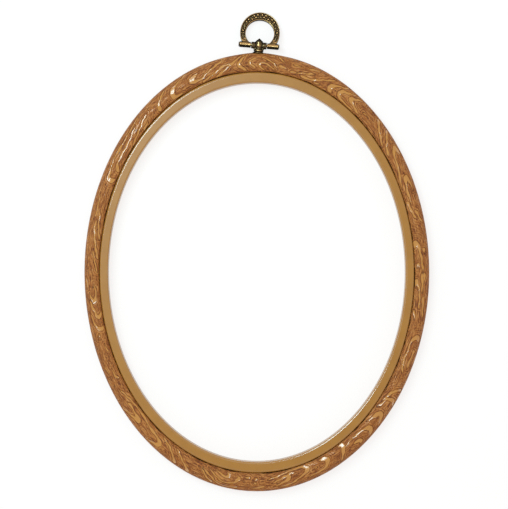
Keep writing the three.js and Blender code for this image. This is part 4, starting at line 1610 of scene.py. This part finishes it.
@dataclass
class Post(Piece):
    """The turned post with its cross tube, clinched through the outer ring.

    Fields that hold several places give them as steps from the level or radius that their name says, or as
    shares of it.
    """

    label: ClassVar[Label] = Label("hanger_post_looks", Body.OUTER_HOOP, Slot.ANTIQUE_BRASS, 60.0)

    seat: HangerSeat
    clinch_inset: float = 0.4
    clinch_radius: float = 1.95
    clinch_thickness: float = 0.9
    clinch_edge: float = 0.4
    clinch_dimple: tuple[Place, ...] = ((0.0, 0.12), (0.35, 0.1), (0.62, 0.0))
    clinch_back: tuple[Place, ...] = ((0.15, 0.05), (0.3, 0.0))
    foot_thickness: float = 0.6
    foot_edge: float = 0.25
    foot_bevel: Place = (0.28, 0.05)
    neck_root: Place = (0.35, 0.1)
    neck_radius: float = 2.6
    neck_rise: float = 0.1
    groove_radius: float = 2.05
    groove_height: float = 1.1
    groove_slope: tuple[Place, ...] = ((0.05, 0.05), (0.2, 0.6))
    ball_radius: float = 2.2
    ball_base: float = 29.0
    ball_start: float = -35.0
    tip_spread: float = 20.0
    tip_radius: float = 2.0
    tip_shoulder: float = 2.05
    tip_height: float = 3.8
    tip_rim: tuple[Place, ...] = ((0.05, -0.35), (0.0, 0.0), (-0.2, 0.25))
    tip_swell: float = 0.08
    tip_point: Place = (0.22, 0.1)
    tube_radius: float = 1.75
    tube_half_length: float = 4.05
    tube_edge: float = 0.16
    tube_swell: float = 0.03
    collar_start: float = 1.95
    collar_edge: float = 0.3
    collar_rise: float = 0.28
    collar_groove: tuple[Place, ...] = ((0.42, 0.3), (0.36, 0.12))
    web_thickness: float = 2.0
    web_top: Place = (0.45, 0.55)
    web_knee: float = 0.4
    web_bite: float = 0.1
    web_foot: float = 3.0
    web_edge: float = 0.2
    web_taper: float = 0.94
    web_steps: int = 8
    bore_radius: float = 0.85
    bore_facets: int = 32
    voxel: float = 0.1
    smoothing: int = 3
    facets: int = 72
    rubbing_and_shading: RubbingAndShading = RubbingAndShading(22, 0.09)
    # A painted highlight and shade by facing, all over the post.
    painted_sheen: float = 0.25
    ball_wear: float = 0.25
    end_wear: float = 0.6
    tip_worn: Span = (1.1, 1.8)
    foot_worn: Span = (-3.0, -3.3)
    collar_darkening: float = 0.35
    collar_blur: float = 0.2

    def clinch(self) -> list[Place]:
        """Draws the clinched end.

        Returns:
            The profile, from the dimple to where it meets the shank.
        """
        radius, inset, edge = self.clinch_radius, self.clinch_inset, self.clinch_edge
        top = inset + self.clinch_thickness
        dimple = [(radius * share, inset + depth) for share, depth in self.clinch_dimple]
        rim = arc((radius - edge, inset + edge), edge, -90.0, 60.0, 6)
        back = [(radius - inward, top - drop) for inward, drop in self.clinch_back]
        return [*dimple, *rim, *back, (self.seat.shank_radius, top)]

    def neck(self) -> list[Place]:
        """Draws the foot and the neck.

        Returns:
            The profile, up to the groove under the ball.
        """
        low = self.seat.wall_height - self.seat.foot_sink + self.seat.clearance
        top = low + self.foot_thickness
        foot, edge, groove = self.seat.foot_radius, self.foot_edge, self.groove_radius
        base = self.ball_radius * math.sin(math.radians(self.ball_base))
        neck_top = self.seat.axis_level - base - self.groove_height
        middle = (top + neck_top) / 2 + self.neck_rise
        return [
            (self.seat.shank_radius, low),
            *arc((foot - edge, low + edge), edge, -90.0, 70.0, 5),
            (foot - self.foot_bevel[0], top - self.foot_bevel[1]),
            (groove + self.neck_root[0], top + self.neck_root[1]),
            *arc((groove, middle), (self.neck_radius - groove, neck_top - middle), -65.0, 80.0, 9),
            *((groove - inward, neck_top + rise) for inward, rise in self.groove_slope),
        ]

    def ball(self) -> list[Place]:
        """Draws the ball and its pointed cap.

        Returns:
            The profile.
        """
        axis, radius = self.seat.axis_level, self.tip_radius
        shoulder, point = axis + self.tip_shoulder, axis + self.tip_height
        middle = axis + (self.tip_shoulder + self.tip_height) / 2
        return [
            *arc((0.0, axis), self.ball_radius, self.ball_start, self.tip_spread, 12),
            *((radius + outward, shoulder + rise) for outward, rise in self.tip_rim),
            (radius * 0.5, middle + self.tip_swell),
            (self.tip_point[0], point - self.tip_point[1]),
            (0.0, point),
        ]

    def wear(self, form: Form) -> np.ndarray:
        """Returns the wear of each point: the ball is rubbed most, the pointed top and the foot least, and
        the collars are darker.

        Args:
            form: The post, with its axis along Y.

        Returns:
            The wear of each point.
        """
        level = form.points[:, 1] - self.seat.axis_level
        ends = ease(*self.tip_worn, level) + ease(*self.foot_worn, level)
        start, blur = self.collar_start, self.collar_blur
        collars = ease(start - blur, start + blur, np.abs(form.points[:, 0]))
        return self.ball_wear - self.end_wear * ends - self.collar_darkening * collars

    def tube(self) -> Form:
        """Makes the cross tube: a collar on each side of the ball, set off from it by a groove.

        Returns:
            The tube, with its axis along X.
        """
        radius, end, start = self.tube_radius, self.tube_half_length, self.collar_start
        collar, edge = self.collar_edge, self.tube_edge
        half = [
            *((radius - inward, start - back) for inward, back in self.collar_groove),
            *arc((radius - collar, start + self.collar_rise), collar, -80.0, 0.0, 4),
            (radius + self.tube_swell, (start + end) / 2),
            *arc((radius - edge, end - edge), edge, 0.0, 80.0, 5),
            (0.0, end),
        ]
        return along_x(turned([*mirrored(half), *half], self.facets))

    def web(self) -> Form:
        """Makes the web that fills the corners between the tube and the neck.

        Returns:
            The web.
        """
        axis = self.seat.axis_level
        inward, share = self.web_top
        start = np.array([self.tube_half_length - inward, axis - self.tube_radius * share])
        knee = np.array([self.neck_radius + self.web_knee, axis - self.tube_radius])
        end = np.array([self.groove_radius - self.web_bite, axis - self.web_foot])
        outline = bent(start, knee, end, self.web_steps).tolist()
        outline += [(-x, y) for x, y in reversed(outline)]
        half, taper = self.web_thickness / 2, self.web_taper
        depths = (-half, -half + self.web_edge, half - self.web_edge, half)
        loops = []
        for depth, size in zip(depths, (taper, 1.0, 1.0, taper)):
            loops.append([(x * size, axis + (y - axis) * size, depth) for x, y in outline])
        return loop_grid(np.array(loops)[:, ::-1], False)

    def form(self) -> Form:
        """Makes the post, melted together like a casting and bored for the pin.

        Returns:
            The post.
        """
        to_axis = Matrix.Translation((0.0, self.seat.axis_level, 0.0))
        stem = turned([*self.clinch(), *self.neck(), *self.ball()], self.facets)
        raw = stem.with_form(self.tube().moved(to_axis)).with_form(self.web())
        bore = rod(self.bore_radius, 2 * self.tube_half_length, self.bore_facets)
        form = raw.fused(self.voxel, self.smoothing).cut(bore.moved(to_axis))
        return form.with_wear_and_shading(self.rubbing_and_shading, self.wear(form), self.painted_sheen).moved(self.seat.frame())


@dataclass
class Washer(Piece):
    """The washer under the clinched end of the post."""

    label: ClassVar[Label] = Label("clinch_washer_looks", Body.OUTER_HOOP, Slot.ANTIQUE_BRASS, 40.0)

    seat: HangerSeat
    thickness: float = 0.6
    clinch_top: float = 1.3
    edge: float = 0.14
    hollow: float = 0.02
    middle: float = 0.7
    facets: int = 96
    rubbing_and_shading: RubbingAndShading = RubbingAndShading(6, 0.03)

    def form(self) -> Form:
        """Makes the washer.

        Returns:
            The washer.
        """
        low, edge = self.clinch_top + self.seat.clearance, self.edge
        high = low + self.thickness
        bore, outer = self.seat.shank_radius + self.seat.clearance, self.seat.washer_radius
        profile = [
            (bore, low + edge),
            (bore + edge, low),
            (outer * self.middle, low),
            *arc((outer - edge, low + edge), edge, -90.0, 0.0, 4),
            *arc((outer - edge, high - edge), edge, 0.0, 90.0, 4),
            (outer * self.middle, high - self.hollow),
            (bore + edge, high),
            (bore, high - edge),
        ]
        loops = spun(profile, self.facets).swapaxes(0, 1)[:, ::-1]
        return loop_grid(loops, True).with_wear_and_shading(self.rubbing_and_shading).moved(self.seat.frame())


@dataclass(frozen=True)
class Leaf:
    """A small leaf of the bail's pattern.

    Its angle is in degrees from the pattern's middle and its inset is from the outer edge. Its half sizes are
    along and across the band, and its skew is in degrees off it.
    """

    angle: float
    inset: float
    long: float
    wide: float
    skew: float = 0.0


LEAVES: tuple[Leaf, ...] = (
    Leaf(0.0, 2.0, 0.24, 0.85),
    Leaf(6.5, 2.95, 0.85, 0.2),
    Leaf(23.5, 2.75, 0.9, 0.22, 8.0),
    Leaf(26.0, 1.35, 0.5, 0.2, -30.0),
    Leaf(31.5, 1.25, 0.4, 0.18, 20.0),
    Leaf(43.5, 2.6, 1.05, 0.24, 6.0),
    Leaf(56.0, 2.35, 1.0, 0.26, 4.0),
    Leaf(64.5, 1.25, 0.85, 0.2, -4.0),
    Leaf(70.0, 1.95, 1.15, 0.26),
    Leaf(79.0, 1.05, 0.45, 0.2, 25.0),
    Leaf(79.0, 1.95, 0.45, 0.2, -25.0),
    Leaf(95.0, 1.1, 0.5, 0.2, -25.0),
    Leaf(95.0, 1.95, 0.5, 0.2, 25.0),
    Leaf(103.0, 1.45, 0.9, 0.28),
)


@dataclass
class Bail(Piece):
    """The cast horseshoe that the hoop hangs from, with its raised borders, dots and leaves.

    The dots are given by their angles in degrees from the pattern's middle, and stand on both sides of it.
    The border slopes down in shares of its width and of the field's depth.
    """

    label: ClassVar[Label] = Label("hanger_bail_looks", Body.BAIL, Slot.ANTIQUE_BRASS, 60.0)

    seat: HangerSeat
    reach: float = 18.0
    half_width: float = 10.4
    half_height: float = 11.1
    thickness: float = 2.2
    side_band: float = 2.93
    crown_band: float = 4.15
    eye_base: float = 0.8
    border: float = 0.6
    border_top: Place = (0.62, 0.01)
    border_slope: tuple[Place, ...] = ((0.8, 0.2), (0.98, 0.75), (1.2, 1.0))
    field_depth: float = 0.3
    field_columns: int = 8
    field_span: float = 112.0
    field_end: Span = (2.0, -4.0)
    front_edge: float = 0.34
    rear_edge_share: float = 1.2
    leg_swell: float = 0.22
    leg_start: Span = (112.0, 128.0)
    barrel_radius: float = 1.53
    barrel_start: float = 4.3
    barrel_end: float = 10.25
    barrel_edges: Span = (0.14, 0.35)
    barrel_tapers: Span = (1.2, 1.0)
    barrel_waist: Triple = (0.04, 0.05, 0.02)
    barrel_facets: int = 72
    pin_radius: float = 0.75
    pin_clearance: float = 0.1
    bore_facets: int = 32
    tube_space: float = 2.05
    space_facets: int = 64
    table_gap: float = 0.1
    dot_radius: float = 0.52
    dot_facets: int = 16
    outer_dots: tuple[float, ...] = (7.0, 20.0, 43.0, 54.0)
    inner_dots: tuple[float, ...] = (15.5, 32.0)
    side_dots: tuple[float, ...] = (87.0,)
    outer_inset: float = 1.4
    inner_inset: float = 2.5
    pattern_shift: float = -4.0
    leaves: tuple[Leaf, ...] = LEAVES
    leaf_height: float = 0.24
    leaf_facets: int = 14
    columns: int = 320
    voxel: float = 0.1
    smoothing: int = 2
    rubbing_and_shading: RubbingAndShading = RubbingAndShading(18, 0.07)
    field_wear: float = 0.02
    crease_wear: float = -1.1
    crease_start: Span = (0.55, 0.75)
    crease_end: Span = (1.15, 0.95)
    dot_wear: float = 1.0
    dot_worn: Span = (1.1, 0.7)
    # A painted highlight and shade by facing, on the legs and barrels.
    leg_painted_sheen: float = 1.0
    leg_blur: float = 4.0

    @property
    def centre(self) -> float:
        """The outer oval's centre above the bar's axis."""
        return self.reach - self.half_height

    @property
    def eye(self) -> Triple:
        """The eye's half width, half height and centre above the bar's axis."""
        half_height = (self.reach - self.crown_band + self.eye_base) / 2
        return self.half_width - self.side_band, half_height, half_height - self.eye_base

    def frame(self) -> Matrix:
        """Places the bail at rest, dropped back until its far edge is just above the table.

        Returns:
            Its place: the origin is on the bar's axis.
        """
        corner = math.atan2(self.thickness / 2, self.reach)
        fall = self.seat.ring.level - self.table_gap
        droop = math.asin(fall / math.hypot(self.reach, self.thickness / 2)) - corner
        bar = Matrix.Translation((0.0, self.seat.axis_level, 0.0))
        return self.seat.frame() @ bar @ Matrix.Rotation(-droop, 4, "X")

    def slice(self, width: float, field_share: float, flare: float) -> list[Place]:
        """Returns the outline across the band, from its outer edge round to it again.

        Args:
            width: The band's width there.
            field_share: How much of the sunk field is there, from 0 to 1.
            flare: How much thicker than its crown the band is there.

        Returns:
            Places across the band, from 0 at its outer edge, and heights.
        """
        half = self.thickness / 2 * flare
        border, sink, edge = self.border, self.field_depth * field_share, self.front_edge
        wide_edge = edge * self.rear_edge_share
        front = [
            *arc((edge, half - edge), edge, 180.0, 95.0, 5),
            (border * self.border_top[0], half - self.border_top[1]),
            *((border * share, half - sink * depth) for share, depth in self.border_slope),
        ]
        rear = arc((wide_edge, -half + wide_edge), wide_edge, 270.0, 180.0, 5)
        inner_side, inner_rear = ([(width - a, b) for a, b in reversed(outer)] for outer in (front, rear))
        steps = np.linspace(0.0, 1.0, self.field_columns)[1:-1]
        foot = self.border_slope[-1][0]
        floor = [(border * foot + (width - 2 * foot * border) * s, half - sink) for s in steps]
        back = [(width - wide_edge - (width - 2 * wide_edge) * s, -half) for s in steps]
        return [*front, *floor, *inner_side, *inner_rear, *back, *rear]

    def band(self) -> Form:
        """Makes the horseshoe itself.

        Returns:
            The horseshoe, without its barrels.
        """
        eye_width, eye_height, eye_centre = self.eye
        outer_end = math.acos(-self.centre / self.half_height)
        inner_end = math.acos(-eye_centre / eye_height)
        field_end = [self.field_span + more for more in self.field_end]
        loops = []
        for share in np.linspace(-1.0, 1.0, self.columns):
            a, b = outer_end * share, inner_end * share
            start = np.array([self.half_width * math.sin(a), self.centre + self.half_height * math.cos(a)])
            end = np.array([eye_width * math.sin(b), eye_centre + eye_height * math.cos(b)])
            width = float(np.linalg.norm(end - start))
            way = (end - start) / width
            angle = np.array(abs(math.degrees(a)))
            flare = 1.0 + self.leg_swell * float(ease(*self.leg_start, angle))
            outline = self.slice(width, float(ease(*field_end, angle)), flare)
            loops.append([(*(start + way * w), z) for w, z in outline])
        return loop_grid(np.array(loops), False)

    def barrel(self, side: int) -> Form:
        """Makes one of the two barrels.

        Args:
            side: -1 for the left one and 1 for the right one.

        Returns:
            The barrel.
        """
        radius, start, end = self.barrel_radius, self.barrel_start, self.barrel_end
        near, far = self.barrel_edges
        levels = (start + self.barrel_tapers[0], (start + end) / 2, end - self.barrel_tapers[1])
        profile = [
            (0.0, start),
            *arc((radius - near, start + near), near, -90.0, 0.0, 4),
            *((radius - inward, level) for inward, level in zip(self.barrel_waist, levels)),
            *arc((radius - far, end - far), far, 0.0, 90.0, 6),
            (0.0, end),
        ]
        return along_x(turned(profile if side > 0 else mirrored(profile), self.barrel_facets))

    def at(self, angle: float, inset: float) -> Place:
        """Finds a place of the pattern.

        Args:
            angle: Its angle from the pattern's middle, in degrees.
            inset: How far it is from the outer edge.

        Returns:
            The place.
        """
        turn = math.radians(angle + self.pattern_shift * math.cos(math.radians(angle)))
        x = (self.half_width - inset) * math.sin(turn)
        return x, self.centre + (self.half_height - inset) * math.cos(turn)

    def dots(self) -> list[Place]:
        """Lists the dots.

        Returns:
            Their places.
        """
        rows = [(a, self.outer_inset) for a in self.outer_dots]
        rows += [(a, self.inner_inset) for a in self.inner_dots]
        rows += [(a, self.side_band / 2) for a in self.side_dots]
        return [self.at(side * angle, inset) for angle, inset in rows for side in (-1, 1)]

    def ornaments(self) -> list[Form]:
        """Makes the dots and the leaves between them.

        Returns:
            All of them.
        """
        floor = self.thickness / 2 - self.field_depth
        radius = self.dot_radius
        made = [boss((x, y, floor), (radius, radius, radius), 0.0, self.dot_facets) for x, y in self.dots()]
        for leaf in self.leaves:
            for side in (-1, 1) if leaf.angle else (1,):
                place = (*self.at(side * leaf.angle, leaf.inset), floor)
                radii = (leaf.long, leaf.wide, self.leaf_height)
                made.append(boss(place, radii, side * (leaf.skew - leaf.angle), self.leaf_facets))
        return made

    def wear(self, form: Form) -> tuple[np.ndarray, np.ndarray]:
        """Finds where the bail is rubbed bright, on the dots, and where its legs and barrels get a painted
        highlight where they face straight to the front or back, with painted shade off it, but not in the
        crease between those.

        Args:
            form: The bail, with its axis along X.

        Returns:
            The wear of each point, and how strongly it gets the painted highlight and shade by its facing.
        """
        across = form.points[:, 0] / self.half_width
        along = (form.points[:, 1] - self.centre) / self.half_height
        turn = np.degrees(np.arctan2(np.abs(across), along))
        legs = ease(self.field_span - self.leg_blur, self.field_span + self.leg_blur, turn)
        level = form.points[:, 1] / self.barrel_radius
        crease = ease(*self.crease_start, level) * ease(*self.crease_end, level)
        base = self.field_wear * (1.0 - legs) + self.crease_wear * legs * crease
        outside, inside = (share * self.dot_radius for share in self.dot_worn)
        for x, y in self.dots():
            away = np.hypot(form.points[:, 0] - x, form.points[:, 1] - y)
            base += self.dot_wear * ease(outside, inside, away)
        # Painted highlight and shade by facing, on the legs and barrels.
        return base, self.leg_painted_sheen * legs

    def form(self) -> Form:
        """Makes the bail, melted together like a casting, with room for the cross tube and the pin.

        Returns:
            The bail.
        """
        raw = self.band()
        for more in (self.barrel(-1), self.barrel(1), *self.ornaments()):
            raw = raw.with_form(more)
        space = rod(self.tube_space, self.barrel_start, self.space_facets)
        bore = rod(self.pin_radius + self.pin_clearance, 2 * self.barrel_end, self.bore_facets)
        form = raw.fused(self.voxel, self.smoothing).cut(space).cut(bore)
        return form.with_wear_and_shading(self.rubbing_and_shading, *self.wear(form)).moved(self.frame())


@dataclass
class Pin(Piece):
    """The hinge pin, with a peened head at each end, which is domed in shares of its radius and drops."""

    label: ClassVar[Label] = Label("hinge_pin_looks", Body.BAIL, Slot.ANTIQUE_BRASS, 40.0)

    bail: Bail
    head_radius: float = 1.3
    head_thickness: float = 0.35
    head_edge: float = 0.16
    head_bevel: float = 0.12
    head_dome: tuple[Place, ...] = ((0.62, 0.03), (0.3, 0.0), (0.0, 0.03))
    clearance: float = 0.1
    hold: float = 4.0
    lead: float = 0.02
    facets: int = 64
    rubbing_and_shading: RubbingAndShading = RubbingAndShading(4, 0.03)

    def form(self) -> Form:
        """Makes the pin.

        Returns:
            The pin.
        """
        start = self.bail.barrel_end + self.clearance
        end = start + self.head_thickness
        radius, head, edge = self.bail.pin_radius, self.head_radius, self.head_edge
        half = [
            (radius, start - self.hold),
            (radius, start - self.lead),
            (head - self.head_bevel, start),
            *arc((head - edge, start + edge), edge, -30.0, 60.0, 5),
            *((head * share, end - drop) for share, drop in self.head_dome),
        ]
        pin = along_x(turned([*mirrored(half), *half], self.facets))
        return pin.with_wear_and_shading(self.rubbing_and_shading).moved(self.bail.frame())


# ---------- Studio ----------


@dataclass(frozen=True)
class Studio:
    """The floor, the light and the camera straight above the hoop.

    The camera's eye, face level and distance are millimetres. The soft box hangs box_distance metres from the
    hoop, tilted off the upright and turned to its heading in degrees.
    """

    eye: Place = (-1.5, -1.6)
    face_level: float = 9.0
    distance: float = 1200.0
    lens: float = 162.3
    clip: Span = (0.05, 20.0)
    sky: float = 0.6
    sky_tint: Triple = (1.16, 1.0, 0.94)
    box_distance: float = 1.0
    box_tilt: float = 26.5
    box_heading: float = 47.0
    box_size: Place = (0.28, 0.55)
    box_power: float = 4.4
    box_tint: Triple = (0.74, 1.0, 1.08)
    floor_half: float = 3.0

    def floor(self, finish: bpy.types.Material) -> None:
        """Lays the floor.

        Args:
            finish: Its material.
        """
        half = self.floor_half
        corners = [(-half, -half, 0.0), (half, -half, 0.0), (half, half, 0.0), (-half, half, 0.0)]
        mesh = bpy.data.meshes.new("floor")
        mesh.from_pydata(corners, [], [(0, 1, 2, 3)])
        mesh.materials.append(finish)
        plane = bpy.data.objects.new("floor", mesh)
        bpy.context.scene.collection.objects.link(plane)

    def light(self) -> None:
        """Hangs a soft box up and to the left, in an even pale room."""
        world = bpy.data.worlds.new("room")
        bpy.context.scene.world = world
        world.use_nodes = True
        background = world.node_tree.nodes["Background"]
        background.inputs["Color"].default_value = (*self.sky_tint, 1.0)
        background.inputs["Strength"].default_value = self.sky

        lamp = bpy.data.lights.new("soft_box", "AREA")
        lamp.shape = "RECTANGLE"
        lamp.size, lamp.size_y = self.box_size
        lamp.energy = self.box_power
        lamp.color = self.box_tint
        box = bpy.data.objects.new("soft_box", lamp)
        bpy.context.scene.collection.objects.link(box)
        turn = Matrix.Rotation(math.radians(self.box_heading), 4, "Z")
        tilt = Matrix.Rotation(math.radians(self.box_tilt), 4, "X").inverted()
        box.matrix_world = turn @ tilt @ Matrix.Translation((0.0, 0.0, self.box_distance))

    def camera(self) -> None:
        """Sets the camera where the photograph was taken from."""
        data = bpy.data.cameras.new("camera")
        data.lens = self.lens
        data.clip_start, data.clip_end = self.clip
        camera = bpy.data.objects.new("camera", data)
        bpy.context.scene.collection.objects.link(camera)
        camera.location = Vector((*self.eye, self.face_level + self.distance)) * MM
        bpy.context.scene.camera = camera

    def build(self) -> None:
        """Sets up the whole studio."""
        bpy.context.scene.view_settings.view_transform = "Standard"
        self.floor(PalePaper().material())
        self.light()
        self.camera()


def main() -> None:
    """Builds the hoop and its studio."""
    logging.basicConfig(level=logging.INFO, format="%(name)s: %(message)s")
    Studio().build()
    vinyl, plastic, brass = WoodgrainVinyl().material(), SatinPlastic().material(), AntiqueBrass().material()
    seam = Seam()
    outer = OuterRing(seam)
    outer.build(vinyl)
    InnerRing(seam, outer).build(plastic)
    seat = HangerSeat(outer)
    bail = Bail(seat)
    for piece in (Post(seat), Washer(seat), bail, Pin(bail)):
        piece.build(brass)


if __name__ == "__main__":
    main()
